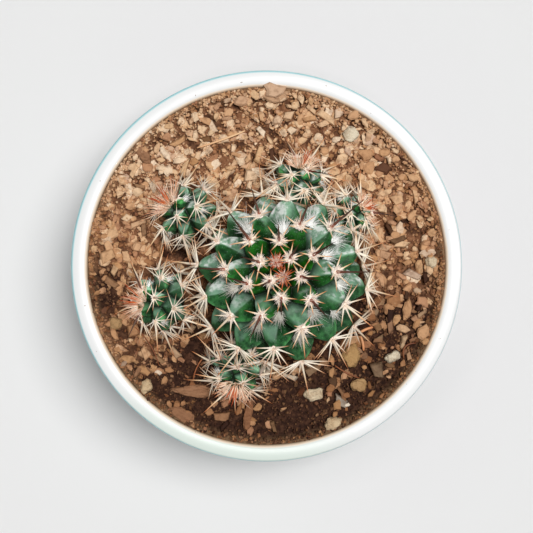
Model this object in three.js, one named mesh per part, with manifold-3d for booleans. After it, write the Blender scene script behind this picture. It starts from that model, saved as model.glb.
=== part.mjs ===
// A round nipple cactus with five offsets, in gritty soil, in a plain white glazed pot.
// Millimetres, +Z up. The origin is on the pot's axis, on the surface the pot stands on.
// Seen from above with +Y up the page, +X is to the right.
import * as THREE from "three";
import { ConvexHull } from "three/addons/math/ConvexHull.js";
import { mergeVertices } from "three/addons/utils/BufferGeometryUtils.js";
import Module from "manifold-3d";

const wasm = await Module();
wasm.setup();

// ---- driving dimensions -------------------------------------------------------------------
const clearance = 0.3; // between pieces that touch on the real plant
const turnSides = 48; // sides of the pot and of the soil
const wallShares = [0.2, 0.5, 0.8]; // of the pot's height, where its wall has a ring of corners

const pot = {
  height: 92,
  rimRadius: 60,
  footRadius: 42,
  wall: 5.2,
  flare: 0.8, // power of the wall's widening with height
  floorTop: 8,
  floorCove: 2, // how far the inside corner of the floor is cut back
  footWidth: 4.5,
  footDepth: 2,
  footBevel: 1,
  footHeel: [0.4, 1.4], // where the foot meets the wall: outward and up
  drainRadius: 5,
  rimRound: 1.7,
  innerRound: 1.2,
};

const soil = {
  top: pot.height - 2.6,
  mound: 0.8, // how much higher it lies round the stems
  moundReach: 26,
  moundPower: 4,
  bank: 1.1, // how much higher it lies along the wall
  bankWidth: 9,
  roughness: 0.4, // relief between the chips, up and down
  rings: 6,
  seed: 11,
};

// The larger chips of stone and bark in the soil's top, fused to it: flat blocks with uneven
// corners, narrower on top.
const chips = {
  count: 76,
  seed: 5,
  length: [3.8, 7.6],
  lengthPower: 1.6, // above 1, most chips are near the shorter length
  breadth: [0.55, 0.9], // shares of the length
  thickness: [0.24, 0.4],
  corners: 4,
  cornerTurn: 0.3, // unevenness of the corners' places, as shares of a side and of the radius
  cornerReach: 0.24,
  taper: 0.78,
  tilt: 20, // most degrees from flat
  lift: [0.1, 0.6],
  fromWall: 0.6,
};

// A stem's body has tubercles in opposite pairs. Each pair is turned by half the golden angle.
// polar(n) = linear * n + root * sqrt(n) degrees from the tip, with n = pair + first.
const pairTurn = -68.384;
const mainSpiral = { linear: 6.705, root: -9.61, first: 3.466 };
const offsetSpiral = { linear: 8.5, root: 14, first: 1 };
const tipDip = { share: 0.1, reach: 13 }; // of the tip radius, and degrees: the sunken growing tip
const underside = { start: 20, step: 28, stop: 160, mostCells: 10 }; // degrees, cells in a ring
const bodyLift = 1.4; // the bodies are cut flat this much above the mound
const neckSides = 20;

// place: middle of the body, mm above the soil in z. lean and heading: degrees from upright, and
// where the tip leans to. tip: radius to the tubercle tips. core: radius to the creases between.
const stems = {
  stem_main: {
    place: [4.6, -3.7, 13.1],
    lean: 7.7,
    heading: 105,
    turn: 117.3,
    tip: 25.9,
    tipHigh: 22.5,
    tipLow: 16,
    core: 18.2,
    coreHigh: 16.6,
    coreLow: 12.5,
    spiral: mainSpiral,
    pairs: 21,
    padRadius: 2,
    bulge: 0.9,
    neckRadius: 12,
    neckDepth: 14,
    spines: { radial: 5, length: 6.6, central: 9.6, radius: 0.34, depth: 0.6 },
  },
  offset_upper_left: offset([-23.9, 15.9, 7.6], 46, 155, 20, 9.6),
  offset_left: offset([-31, -10.3, 7.7], 50, 182, 80, 9.5),
  offset_lower: offset([-8.6, -30.6, 7.1], 46, 262, 40, 8.8),
  offset_upper: offset([9.6, 24.9, 7.3], 46, 80, 120, 8.6),
  offset_right: offset([25.2, 15.4, 5.7], 50, 25, 160, 7.2),
};

// Every spine stands on its tubercle's pad, with its root sunk by depth.
const spineGrowth = { youngest: 0.55, grownAt: 40 }; // share of full length, polar degrees
const spineOpening = [54, 64]; // degrees of the radial spines from the tubercle's own direction
const radialShift = 0.125; // most unevenness of a radial spine's place round its tubercle, radians
const centralTilt = [0.4, 0.6]; // of the central spine towards the ground
const spineVariation = [0.85, 1.15];
const spineSides = 3;
const rootLead = 0.3; // start of a spine along its own direction
const spineSeedStep = 97; // between the draws of two stems
const spineTries = [
  { bend: 0, share: 1 },
  { bend: 0.25, share: 1 },
  { bend: 0.5, share: 0.9 },
  { bend: 0.8, share: 0.8 },
  { bend: 0.9, share: 0.6 },
];

// Larger stones and bark on the soil: middle x and y, length, width and thickness, and turn.
const lumpLift = 0.5; // of their middles above the soil
const lumpSwell = { across: 0.1, up: 0.05, tilt: 0.12, waves: [5, 4] };
const stones = {
  stone_white: { at: [38.8, -27.9], size: [4.4, 3.4, 3.2], turn: 25 },
  stone_pale: { at: [14.5, -39.4], size: [5.4, 4.2, 3], turn: 20 },
  stone_tan_large: { at: [26.2, -27.4], size: [6.6, 5.6, 3.4], turn: 70 },
  stone_tan: { at: [28.4, -36.6], size: [4.8, 4.2, 3], turn: 10 },
  stone_tan_low: { at: [20.4, -48.2], size: [5.6, 3.6, 2.8], turn: 30 },
  stone_left: { at: [-36.9, -37], size: [4.4, 3.6, 3], turn: 50 },
  stone_far_left: { at: [-46.4, -17.6], size: [4.2, 4, 3.2], turn: 0 },
  stone_grey: { at: [25.8, 40.4], size: [5.4, 4.2, 3.2], turn: 110 },
  stone_right: { at: [50.6, 1.2], size: [3.8, 3.4, 2.8], turn: 0 },
};
const barks = {
  bark_rim: { at: [2.4, 52.2], size: [7.6, 4.4, 1.8], turn: 5 },
  bark_lower_left: { at: [-22, -38.4], size: [13, 3.4, 2], turn: -6 },
  bark_curled: { at: [-26, -45.4], size: [7.4, 4, 2], turn: -35 },
  bark_upright: { at: [-5.6, -45.6], size: [9, 2.6, 2], turn: 84 },
  bark_upper_left: { at: [-38, 34.5], size: [6.4, 3.6, 1.8], turn: 130 },
};

function offset(place, lean, heading, turn, tip) {
  const scale = tip / 9.2;
  return {
    place,
    lean,
    heading,
    turn,
    tip,
    tipHigh: tip * 0.98,
    tipLow: tip * 0.98,
    core: tip * 0.66,
    coreHigh: tip * 0.68,
    coreLow: tip * 0.66,
    spiral: offsetSpiral,
    pairs: 9,
    padRadius: 1.5 * scale,
    bulge: 0,
    neckRadius: 3.2 * scale,
    neckDepth: 8,
    spines: { radial: 3, length: 4.6 * scale, central: 6.4 * scale, radius: 0.3, depth: 0.4 },
  };
}

// ---- helpers ------------------------------------------------------------------------------
const rad = THREE.MathUtils.degToRad;
const lerp = THREE.MathUtils.lerp;
const up = new THREE.Vector3(0, 0, 1);

// A repeatable draw from 0 to 1: each whole number is worked out from the last one.
function randomFrom(seed) {
  const modulus = 2147483647;
  const factor = 48271;
  let state = 1 + (Math.round(seed * 7919) % (modulus - 1));
  return () => {
    state = (state * factor) % modulus;
    return state / modulus;
  };
}

const mergeWithin = 1e-4;

function mergedOf(geometry) {
  const bare = geometry.clone();
  bare.deleteAttribute("normal");
  bare.deleteAttribute("uv");
  return mergeVertices(bare, mergeWithin);
}

function solidOf(geometry) {
  const merged = mergedOf(geometry);
  return new wasm.Manifold(
    new wasm.Mesh({
      numProp: 3,
      vertProperties: merged.attributes.position.array,
      triVerts: new Uint32Array(merged.index.array),
    }),
  );
}

function geometryOf(solid) {
  const mesh = solid.getMesh();
  const geometry = new THREE.BufferGeometry();
  const places = new Float32Array(mesh.numVert * 3);
  for (let i = 0; i < mesh.numVert; i++) {
    const start = mesh.numProp * i;
    places.set(mesh.vertProperties.subarray(start, start + 3), 3 * i);
  }
  geometry.setAttribute("position", new THREE.BufferAttribute(places, 3));
  geometry.setIndex(new THREE.BufferAttribute(mesh.triVerts, 1));
  geometry.computeVertexNormals();
  return geometry;
}

function largestPiece(solid) {
  return solid.decompose().sort((a, b) => b.volume() - a.volume())[0];
}

// A closed turned shape: the points are [radius, z], in order round the section.
function turned(points) {
  const profile = points.map(([r, z]) => new THREE.Vector2(r, z));
  return new THREE.LatheGeometry(profile, turnSides).rotateX(Math.PI / 2);
}

// Places [radius, z] round a quarter of a circle, at the given degrees.
function quarterRound(middle, radius, degrees) {
  return degrees.map((a) => [
    middle[0] + radius * Math.cos(rad(a)),
    middle[1] + radius * Math.sin(rad(a)),
  ]);
}

// ---- pot and soil -------------------------------------------------------------------------
function outerRadius(z) {
  const share = Math.max(0, z) / pot.height;
  return pot.footRadius + (pot.rimRadius - pot.footRadius) * share ** pot.flare;
}

function innerRadius(z) {
  return outerRadius(z) - pot.wall;
}

const wallLevels = wallShares.map((share) => share * pot.height);

function makePot() {
  const { height, rimRadius, footRadius, floorTop, footWidth, footDepth, drainRadius } = pot;
  const [lip, innerLip] = [pot.rimRound, pot.innerRound];
  const [heelOut, heelUp] = pot.footHeel;
  const rimIn = rimRadius - pot.wall;
  const sill = footRadius - footWidth;
  const profile = [
    [drainRadius, footDepth],
    [sill - pot.footBevel, footDepth],
    [sill, 0],
    [footRadius - pot.footBevel, 0],
    [footRadius + heelOut, heelUp],
    ...wallLevels.map((z) => [outerRadius(z), z]),
    ...quarterRound([rimRadius - lip, height - lip], lip, [0, 45, 90]),
    ...quarterRound([rimIn + innerLip, height - innerLip], innerLip, [90, 135, 180]),
    ...wallLevels.map((z) => [innerRadius(z), z]).reverse(),
    [innerRadius(floorTop) - pot.floorCove, floorTop],
    [drainRadius, floorTop],
    [drainRadius, footDepth],
  ];
  return solidOf(turned(profile));
}

// The soil is level, with a low mound round the stems and a low bank along the wall.
function soilHeight(x, y) {
  const fromStem = Math.hypot(x - stems.stem_main.place[0], y - stems.stem_main.place[1]);
  const mound = soil.mound * Math.exp(-((fromStem / soil.moundReach) ** soil.moundPower));
  const edge = innerRadius(soil.top);
  const bank = THREE.MathUtils.smoothstep(Math.hypot(x, y), edge - soil.bankWidth, edge);
  return soil.top + mound + soil.bank * bank;
}

// The same profile as the pot's inside, then a rough top raised by a seeded draw.
function makeGround(draw) {
  const edge = innerRadius(soil.top) - clearance;
  const bottom = pot.floorTop + clearance;
  const topRings = Array.from({ length: soil.rings + 1 }, (_, i) => 1 - i / soil.rings);
  const profile = [
    [0, bottom],
    [innerRadius(pot.floorTop) - pot.floorCove - clearance, bottom],
    ...wallLevels.map((z) => [innerRadius(z) - clearance, z]),
    ...topRings.map((share) => [edge * share, soil.top]),
  ];
  const geometry = mergedOf(turned(profile));
  const places = geometry.attributes.position;
  for (let i = 0; i < places.count; i++) {
    if (places.getZ(i) > soil.top - mergeWithin) {
      const relief = soil.roughness * (2 * draw() - 1);
      places.setZ(i, soilHeight(places.getX(i), places.getY(i)) + relief);
    }
  }
  return solidOf(geometry);
}

// One chip's corners on its own plane, at radius 1 but for their unevenness.
function chipCorners(chip) {
  return Array.from({ length: chips.corners }, (_, i) => {
    const uneven = chips.cornerTurn * Math.sin(7 * chip + 3 * i);
    const angle = (2 * Math.PI * (i + uneven)) / chips.corners;
    const reach = 1 + chips.cornerReach * Math.sin(5 * chip + 2 * i);
    return new THREE.Vector2(reach * Math.cos(angle), reach * Math.sin(angle));
  });
}

// A block from -1 to 1 in z: the corners below, the same corners drawn in by the taper above.
function chipGeometry(chip) {
  const geometry = new THREE.ExtrudeGeometry(new THREE.Shape(chipCorners(chip)), {
    depth: 2,
    bevelEnabled: false,
  }).translate(0, 0, -1);
  const places = geometry.attributes.position;
  for (let i = 0; i < places.count; i++) {
    if (places.getZ(i) > 0) {
      places.setXY(i, chips.taper * places.getX(i), chips.taper * places.getY(i));
    }
  }
  return geometry;
}

// Chips lie on the open soil: not on the pieces that lie on it, and not under the plants.
function isOpen(x, y, room) {
  const lumps = Object.values({ ...stones, ...barks }).map(({ at, size }) => [at, size[0] / 2]);
  const plants = Object.values(stems).map(({ place, tip }) => [place, tip]);
  return [...lumps, ...plants].every(
    ([place, reach]) => Math.hypot(place[0] - x, place[1] - y) > reach + room,
  );
}

function makeSoil() {
  const solids = [makeGround(randomFrom(soil.seed))];
  const draw = randomFrom(chips.seed);
  const edge = innerRadius(soil.top) - clearance - chips.fromWall;
  for (let chip = 0; solids.length <= chips.count; chip++) {
    const [far, way, long, broad, thick, lean, spin, lift] = Array.from({ length: 8 }, draw);
    const length = lerp(...chips.length, long ** chips.lengthPower);
    const out = (edge - length / 2) * Math.sqrt(far);
    const [x, y] = [out * Math.cos(2 * Math.PI * way), out * Math.sin(2 * Math.PI * way)];
    const size = [1, lerp(...chips.breadth, broad), lerp(...chips.thickness, thick)];
    const block = chipGeometry(chip)
      .scale(...size.map((share) => (share * length) / 2))
      .rotateX(rad(chips.tilt * (2 * lean - 1)))
      .rotateZ(2 * Math.PI * spin)
      .translate(x, y, soilHeight(x, y) + lerp(...chips.lift, lift));
    if (isOpen(x, y, length / 2)) {
      solids.push(solidOf(block));
    }
  }
  return wasm.Manifold.union(solids);
}

// ---- stones and bark ----------------------------------------------------------------------
// grow widens the same shape on every side, to cut its bed in the soil.
function lumpGeometry({ at, size, turn }, grow = 0) {
  const shape = new THREE.IcosahedronGeometry(1, 0);
  const places = shape.attributes.position;
  for (let i = 0; i < places.count; i++) {
    const [x, y, z] = [places.getX(i), places.getY(i), places.getZ(i)];
    const [across, along] = lumpSwell.waves;
    const wave = Math.sin(across * x + 2 * at[0]) * Math.cos(along * y - at[1]);
    const swell = 1 + lumpSwell.across * wave + lumpSwell.up * z;
    places.setXYZ(i, x * swell, y * swell, z * swell);
  }
  return shape
    .scale(...size.map((s) => s / 2 + grow))
    .rotateX(lumpSwell.tilt * Math.sin(at[0]))
    .rotateZ(rad(turn))
    .translate(at[0], at[1], soilHeight(...at) + lumpLift);
}

// ---- stems --------------------------------------------------------------------------------
function frameOf({ place, lean, heading }) {
  const axis = new THREE.Vector3(1, 0, 0)
    .applyAxisAngle(up, rad(heading))
    .multiplyScalar(Math.sin(rad(lean)))
    .addScaledVector(up, Math.cos(rad(lean)));
  const turn = new THREE.Quaternion().setFromUnitVectors(up, axis);
  const middle = new THREE.Vector3(place[0], place[1], soil.top + place[2]);
  return { axis, turn, middle };
}

function direction({ polar, azimuth }) {
  const level = Math.sin(polar);
  return new THREE.Vector3(level * Math.cos(azimuth), level * Math.sin(azimuth), Math.cos(polar));
}

// Directions of the tubercles from the middle of the stem, in its own frame, oldest last.
function tubercles(stem) {
  const found = [];
  const { linear, root, first } = stem.spiral;
  for (let pair = 0; pair < stem.pairs; pair++) {
    const n = pair + first;
    const polar = rad(linear * n + root * Math.sqrt(n));
    const azimuth = rad(stem.turn + pairTurn * pair);
    found.push({ polar, azimuth }, { polar, azimuth: azimuth + Math.PI });
  }
  return found;
}

// Cells with no tubercle that close the underside.
function undersideCells(lowestPolar) {
  const cells = [];
  let polar = lowestPolar + rad(underside.start);
  for (let ring = 0; polar < rad(underside.stop); ring++) {
    const count = Math.max(3, Math.round(underside.mostCells * Math.sin(polar)));
    const shift = 0.5 * (ring % 2);
    for (let i = 0; i < count; i++) {
      cells.push({ polar, azimuth: (2 * Math.PI * (i + shift)) / count });
    }
    polar += rad(underside.step);
  }
  cells.push({ polar: Math.PI, azimuth: 0 });
  return cells;
}

// A point on the stem: raised 0 is the crease, 1 the tubercle's tip.
function surfacePoint(stem, frame, { polar, azimuth }, raised) {
  const [coreTall, tipTall] =
    polar > Math.PI / 2 ? [stem.coreLow, stem.tipLow] : [stem.coreHigh, stem.tipHigh];
  const wide = lerp(stem.core, stem.tip, raised);
  const tall = lerp(coreTall, tipTall, raised);
  const dip = tipDip.share * stem.tip * Math.exp(-((polar / rad(tipDip.reach)) ** 2)) * raised;
  return direction({ polar, azimuth })
    .multiply(new THREE.Vector3(wide, wide, tall))
    .addScaledVector(up, -dip)
    .applyQuaternion(frame.turn)
    .add(frame.middle);
}

// The cells of points nearest to each direction, found from the hull of the directions: for each
// cell, the two corners of each of its sides.
function cellSides(cells) {
  const points = cells.map(direction);
  const index = new Map(points.map((point, i) => [point, i]));
  const corners = new Map();
  const sides = [];
  const hull = new ConvexHull().setFromPoints(points);
  for (const face of hull.faces) {
    const { x, y, z } = face.normal;
    corners.set(face, { polar: Math.acos(z), azimuth: Math.atan2(y, x) });
  }
  for (const face of hull.faces) {
    let edge = face.edge;
    do {
      const cell = index.get(edge.tail().point);
      sides.push({ cell, ends: [corners.get(face), corners.get(edge.twin.face)] });
      edge = edge.next;
    } while (edge !== face.edge);
  }
  return sides;
}

// Each tubercle is a rounded pyramid on the cell round its direction, with a flat pad for a tip.
// grow swells the whole body.
function bodySolid(stem, grow = 0) {
  const grown = { ...stem };
  for (const key of ["tip", "tipHigh", "tipLow", "core", "coreHigh", "coreLow"]) {
    grown[key] = stem[key] + grow;
  }
  const frame = frameOf(stem);
  const tips = tubercles(stem);
  const cells = [...tips, ...undersideCells(tips.at(-1).polar)];
  const at = (cell, raised) => surfacePoint(grown, frame, cell, raised);
  const places = [];
  const addTriangle = (...three) => three.forEach((p) => places.push(p.x, p.y, p.z));
  for (const { cell, ends } of cellSides(cells)) {
    const feet = ends.map((end) => at(end, 0));
    const base = at(cells[cell], 0);
    if (cell >= tips.length) {
      addTriangle(base, feet[1], feet[0]);
      continue;
    }
    const tip = at(cells[cell], 1);
    const out = tip.clone().sub(base).normalize();
    const rim = feet.map((foot) => {
      const side = foot.clone().sub(tip).projectOnPlane(out);
      return side.setLength(stem.padRadius).add(tip);
    });
    const middle = feet.map((foot, i) => {
      return foot.clone().lerp(rim[i], 0.5).addScaledVector(out, stem.bulge);
    });
    const levels = stem.bulge > 0 ? [feet, middle, rim] : [feet, rim];
    for (let level = 1; level < levels.length; level++) {
      const [low, high] = [levels[level - 1], levels[level]];
      addTriangle(low[1], low[0], high[0]);
      addTriangle(low[1], high[0], high[1]);
    }
    addTriangle(tip, rim[1], rim[0]);
  }
  const geometry = new THREE.BufferGeometry();
  geometry.setAttribute("position", new THREE.Float32BufferAttribute(places, 3));
  return solidOf(geometry);
}

function neckSolid(stem, grow = 0) {
  const [x, y, z] = stem.place;
  const low = soil.top - stem.neckDepth - grow;
  const high = soil.top + z;
  const radius = stem.neckRadius + grow;
  return solidOf(
    new THREE.CylinderGeometry(radius, radius, high - low, neckSides)
      .rotateX(Math.PI / 2)
      .translate(x, y, (low + high) / 2),
  );
}

// ---- spines -------------------------------------------------------------------------------
const laidSpines = []; // every spine so far: {owner, from, to}

function spineSolid(from, to, radius) {
  const along = to.clone().sub(from);
  const length = along.length();
  const turn = new THREE.Quaternion().setFromUnitVectors(up, along.normalize());
  return solidOf(
    new THREE.ConeGeometry(radius, length, spineSides)
      .rotateX(Math.PI / 2)
      .translate(0, 0, length / 2)
      .applyQuaternion(turn)
      .translate(...from),
  );
}

// The least distance between two straight spines.
function segmentGap(a, b) {
  const [u, v] = [a.to.clone().sub(a.from), b.to.clone().sub(b.from)];
  const w = a.from.clone().sub(b.from);
  const [uu, uv, vv, uw, vw] = [u.dot(u), u.dot(v), v.dot(v), u.dot(w), v.dot(w)];
  const clamp = (value) => THREE.MathUtils.clamp(value, 0, 1);
  let s = clamp((uv * vw - vv * uw) / Math.max(uu * vv - uv * uv, 1e-9));
  const t = clamp((uv * s + vw) / vv);
  s = clamp((uv * t - uw) / uu);
  return w.addScaledVector(u, s).addScaledVector(v, -t).length();
}

// True if the spine keeps clear of the soil, of other stems and of other stems' spines.
function isFree(owner, spine, radius, obstacles) {
  const room = 2 * radius + clearance;
  const others = laidSpines.filter((laid) => laid.owner !== owner);
  if (others.some((laid) => segmentGap(laid, spine) < room)) {
    return false;
  }
  const fat = spineSolid(spine.from, spine.to, radius + clearance);
  return Object.entries(obstacles).every(
    ([name, body]) => name === owner || fat.intersect(body).isEmpty(),
  );
}

// Directions and lengths of a tubercle's spines: a ring of radials and one longer central.
function wantedSpines(stem, frame, cell, out, draw) {
  const { radial, length, central } = stem.spines;
  const down = out.clone().sub(frame.axis).projectOnPlane(out).normalize();
  const grown = THREE.MathUtils.smoothstep(cell.polar, 0, rad(spineGrowth.grownAt));
  const growth = lerp(spineGrowth.youngest, 1, grown);
  const wanted = [];
  for (let i = 0; i < radial; i++) {
    const around = (2 * Math.PI * (i + 0.5)) / radial + radialShift * (2 * draw() - 1);
    const open = rad(lerp(...spineOpening, draw()));
    const side = down.clone().applyAxisAngle(out, around);
    const aim = out.clone().multiplyScalar(Math.cos(open)).addScaledVector(side, Math.sin(open));
    wanted.push({ aim, reach: length * growth * lerp(...spineVariation, draw()) });
  }
  const lead = out.clone().addScaledVector(down, lerp(...centralTilt, draw())).normalize();
  wanted.push({ aim: lead, reach: central * growth * lerp(...spineVariation, draw()) });
  return wanted;
}

// A spine that would meet something is bent towards its tubercle's own direction, then shortened.
function spinesOf(owner, stem, obstacles) {
  const draw = randomFrom(owner.length * spineSeedStep + stem.turn);
  const frame = frameOf(stem);
  const { radius, depth } = stem.spines;
  const solids = [];
  for (const cell of tubercles(stem)) {
    const tip = surfacePoint(stem, frame, cell, 1);
    const out = tip.clone().sub(surfacePoint(stem, frame, cell, 0)).normalize();
    const root = tip.clone().addScaledVector(out, -depth);
    for (const { aim, reach } of wantedSpines(stem, frame, cell, out, draw)) {
      const tried = spineTries.map(({ bend, share }) => {
        const way = aim.clone().lerp(out, bend).normalize();
        const from = root.clone().addScaledVector(way, rootLead);
        const to = tip.clone().addScaledVector(way, reach * share);
        return { owner, from, to };
      });
      const spine = tried.find((one) => isFree(owner, one, radius, obstacles));
      if (spine) {
        laidSpines.push(spine);
        solids.push(spineSolid(spine.from, spine.to, radius));
      }
    }
  }
  return solids;
}

// ---- assembly -----------------------------------------------------------------------------
const finishes = {
  pot: { color: 0xf6faf8, roughness: 0.25 },
  soil: { color: 0x6d4c37, roughness: 1 },
  stem: { color: 0x2c6b48, roughness: 0.45 },
  stone: { color: 0xcdb08a, roughness: 0.9 },
  bark: { color: 0xa07a58, roughness: 0.95 },
};

function named(name, solid, finish) {
  const mesh = new THREE.Mesh(
    geometryOf(solid),
    new THREE.MeshStandardMaterial({ ...finishes[finish], metalness: 0 }),
  );
  mesh.name = name;
  return mesh;
}

// The bodies first, cut flat above the ground, each offset trimmed where it would meet the main
// stem, then each joined to its neck.
function makeBodies() {
  const cutLevel = soil.top + soil.mound + bodyLift;
  const cutSize = 2 * pot.rimRadius;
  const below = solidOf(
    new THREE.BoxGeometry(cutSize, cutSize, cutLevel).translate(0, 0, cutLevel / 2),
  );
  const mainGrown = bodySolid(stems.stem_main, clearance);
  const bodies = {};
  for (const [name, stem] of Object.entries(stems)) {
    const cut = bodySolid(stem).subtract(below);
    const clear = name === "stem_main" ? cut : cut.subtract(mainGrown);
    bodies[name] = largestPiece(clear.add(neckSolid(stem)));
  }
  return bodies;
}

const group = new THREE.Group();
const bodies = makeBodies();
let ground = makeSoil();
const obstacles = { ...bodies, soil: ground };
for (const [kind, lumps] of Object.entries({ stone: stones, bark: barks })) {
  for (const [name, lump] of Object.entries(lumps)) {
    obstacles[name] = solidOf(lumpGeometry(lump));
    ground = ground.subtract(solidOf(lumpGeometry(lump, clearance)));
    group.add(named(name, obstacles[name], kind));
  }
}
for (const [name, stem] of Object.entries(stems)) {
  const whole = wasm.Manifold.union([bodies[name], ...spinesOf(name, stem, obstacles)]);
  group.add(named(name, largestPiece(whole), "stem"));
  ground = ground.subtract(neckSolid(stem, clearance));
}
group.add(named("pot", makePot(), "pot"));
group.add(named("soil", largestPiece(ground), "soil"));

export default group;
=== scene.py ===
import bpy
import numpy as np
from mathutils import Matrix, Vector


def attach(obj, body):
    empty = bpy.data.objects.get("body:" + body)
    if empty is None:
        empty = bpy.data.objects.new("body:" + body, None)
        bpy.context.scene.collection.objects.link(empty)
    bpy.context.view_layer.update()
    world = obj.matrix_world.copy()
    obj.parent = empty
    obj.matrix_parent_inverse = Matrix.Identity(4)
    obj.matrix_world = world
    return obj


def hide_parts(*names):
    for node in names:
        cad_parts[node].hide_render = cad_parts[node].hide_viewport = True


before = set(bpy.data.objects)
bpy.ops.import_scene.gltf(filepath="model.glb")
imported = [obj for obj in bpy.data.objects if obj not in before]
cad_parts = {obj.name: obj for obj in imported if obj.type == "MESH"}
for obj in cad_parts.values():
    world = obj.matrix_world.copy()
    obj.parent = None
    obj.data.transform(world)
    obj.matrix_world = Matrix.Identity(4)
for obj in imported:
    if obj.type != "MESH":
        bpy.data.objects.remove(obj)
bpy.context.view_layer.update()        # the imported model: metres, +Z up, the pot stands on z = 0
print("frame loaded,", len(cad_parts), "nodes")

# Every shape below is worked out in millimetres and put into its mesh in metres.
mm = 0.001
tau = 2 * np.pi
seeds = {"soil": 3, "chips": 5, "stems": 7, "wool": 11}


def smoothStep(x, low, high):
    # 0 below low, 1 above high, an S curve between
    t = np.clip((x - low) / (high - low), 0, 1)
    return t * t * (3 - 2 * t)


def unit(v):
    # each vector / its length
    return v / np.maximum(np.linalg.norm(v, axis=-1, keepdims=True), 1e-12)


def between(pair, share):
    # first + (second - first) * share
    return pair[0] + (pair[1] - pair[0]) * share


def rotation(angle, axis):
    # the matrix that turns by this angle about x, y or z (axis 0, 1 or 2)
    matrix = np.eye(3)
    one, two = (axis + 1) % 3, (axis + 2) % 3
    matrix[one, one] = matrix[two, two] = np.cos(angle)
    matrix[two, one] = np.sin(angle)
    matrix[one, two] = -np.sin(angle)
    return matrix


def joined(*parts):
    # x, y and z, or other parts, side by side on the last axis
    return np.stack(np.broadcast_arrays(*parts), -1)


def onCircle(radius, angle):
    # x and y at this distance from the middle, this way
    return radius * np.cos(angle), radius * np.sin(angle)


def direction(polar, azimuth):
    # the unit vector that leans from +Z by polar, towards azimuth
    return joined(*onCircle(np.sin(polar), azimuth), np.cos(polar))


def turned(profile, sides):
    # each point of a profile, radius and height, carried round the z axis
    radius, high = profile[:, 0, None], profile[:, 1, None]
    return joined(*onCircle(radius, tau * np.arange(sides) / sides), high)


def waves(points, size, seed, count=24):
    # soft relief from -1 to 1: the mean of sine waves of about this length in random directions
    draw = np.random.default_rng(seed)
    way = unit(draw.normal(size=(count, points.shape[-1]))) * tau / size
    way *= draw.uniform(0.6, 1.7, (count, 1))
    return np.sin(points @ way.T + draw.uniform(0, tau, count)).sum(-1) / np.sqrt(count)


def shellFaces(rows, cols):
    # point 0 is the first pole, then rows of cols points round it, then the last pole
    ring = np.arange(rows * cols).reshape(rows, cols) + 1
    beside = np.roll(ring, -1, axis=1)
    quads = joined(ring[:-1], ring[1:], beside[1:], beside[:-1]).reshape(-1, 4)
    first = joined(np.zeros(cols, int), ring[0], beside[0])
    last = joined(np.full(cols, rows * cols + 1), beside[-1], ring[-1])
    return [quads, np.concatenate([first, last])]


def hoopFaces(rows, cols):
    # rows and cols both run round and close on themselves
    ring = np.arange(rows * cols).reshape(rows, cols)
    beside, below = np.roll(ring, -1, axis=1), np.roll(ring, -1, axis=0)
    return [joined(ring, below, np.roll(below, -1, axis=1), beside).reshape(-1, 4)]


def repeated(faceSets, count, step):
    # the same faces for count shapes of step points each
    shift = step * np.arange(count)[:, None, None]
    return [(faces[None] + shift).reshape(-1, faces.shape[1]) for faces in faceSets]


def volumeOf(points, faceSets):
    # six times the signed volume, positive where the faces point out
    total = 0
    for faces in faceSets:
        for i in range(1, faces.shape[1] - 1):
            a, b, c = points[faces[:, 0]], points[faces[:, i]], points[faces[:, i + 1]]
            total += np.einsum("ij,ij->", a, np.cross(b, c))
    return total


def addPiece(name, points, faceSets, finish, slot, stands=(), smooth=True, **attributes):
    # one mesh out of points in mm, its faces turned outwards; each attribute has one value a point;
    # stands names the solids whose place it takes
    points = points.reshape(-1, 3)
    centred = points - points.mean(0)
    if volumeOf(centred, faceSets) < 0:
        faceSets = [faces[:, ::-1] for faces in faceSets]
    mesh = bpy.data.meshes.new(name)
    corners = np.concatenate([faces.ravel() for faces in faceSets])
    sizes = np.concatenate([np.full(len(faces), faces.shape[1]) for faces in faceSets])
    mesh.vertices.add(len(points))
    mesh.vertices.foreach_set("co", (points * mm).ravel())
    mesh.loops.add(len(corners))
    mesh.loops.foreach_set("vertex_index", corners.astype(np.int32))
    mesh.polygons.add(len(sizes))
    mesh.polygons.foreach_set("loop_start", np.concatenate([[0], np.cumsum(sizes)[:-1]]).astype(np.int32))
    mesh.polygons.foreach_set("use_smooth", np.full(len(sizes), smooth))
    for key, values in attributes.items():
        layer = mesh.attributes.new(key, "FLOAT", "POINT")
        layer.data.foreach_set("value", np.asarray(values, np.float32).ravel())
    mesh.update(calc_edges=True)
    mesh.materials.append(finishes[finish])
    piece = bpy.data.objects.new(name, mesh)
    bpy.context.scene.collection.objects.link(piece)
    if stands:
        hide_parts(*stands)
    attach(piece, "root")
    return piece


def addMany(name, points, grid, finish, slot, smooth=True, **shades):
    # many closed shapes in one piece: points[shape, point, axis], all on grids of the same rows and
    # columns; a shade has one value for each shape or one for each point
    count, size = points.shape[:2]
    shades = {key: np.repeat(values, size) if np.size(values) == count else values
              for key, values in shades.items()}
    addPiece(name, points, repeated(shellFaces(*grid), count, size), finish, slot, smooth=smooth, **shades)


def sweep(paths, radii, sides):
    # round sections of the given radii, square to each path, with a pole at both ends
    along = unit(np.gradient(paths, axis=1))
    chord = unit(paths[:, -1] - paths[:, 0])
    helper = np.eye(3)[np.abs(chord).argmin(1)][:, None]
    side = unit(np.cross(along, helper))
    other = np.cross(along, side)
    angle = tau * np.arange(sides) / sides
    circle = np.cos(angle)[:, None] * side[:, :, None] + np.sin(angle)[:, None] * other[:, :, None]
    ring = paths[:, :, None] + radii[:, :, None, None] * circle
    ring = ring.reshape(len(paths), -1, 3)
    return np.concatenate([paths[:, :1], ring, paths[:, -1:]], axis=1)


def perPoint(values, sides):
    # one value for each row of a swept shape, given to every point of it
    ring = np.repeat(values, sides, axis=1)
    return np.concatenate([values[:, :1], ring, values[:, -1:]], axis=1)


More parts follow.
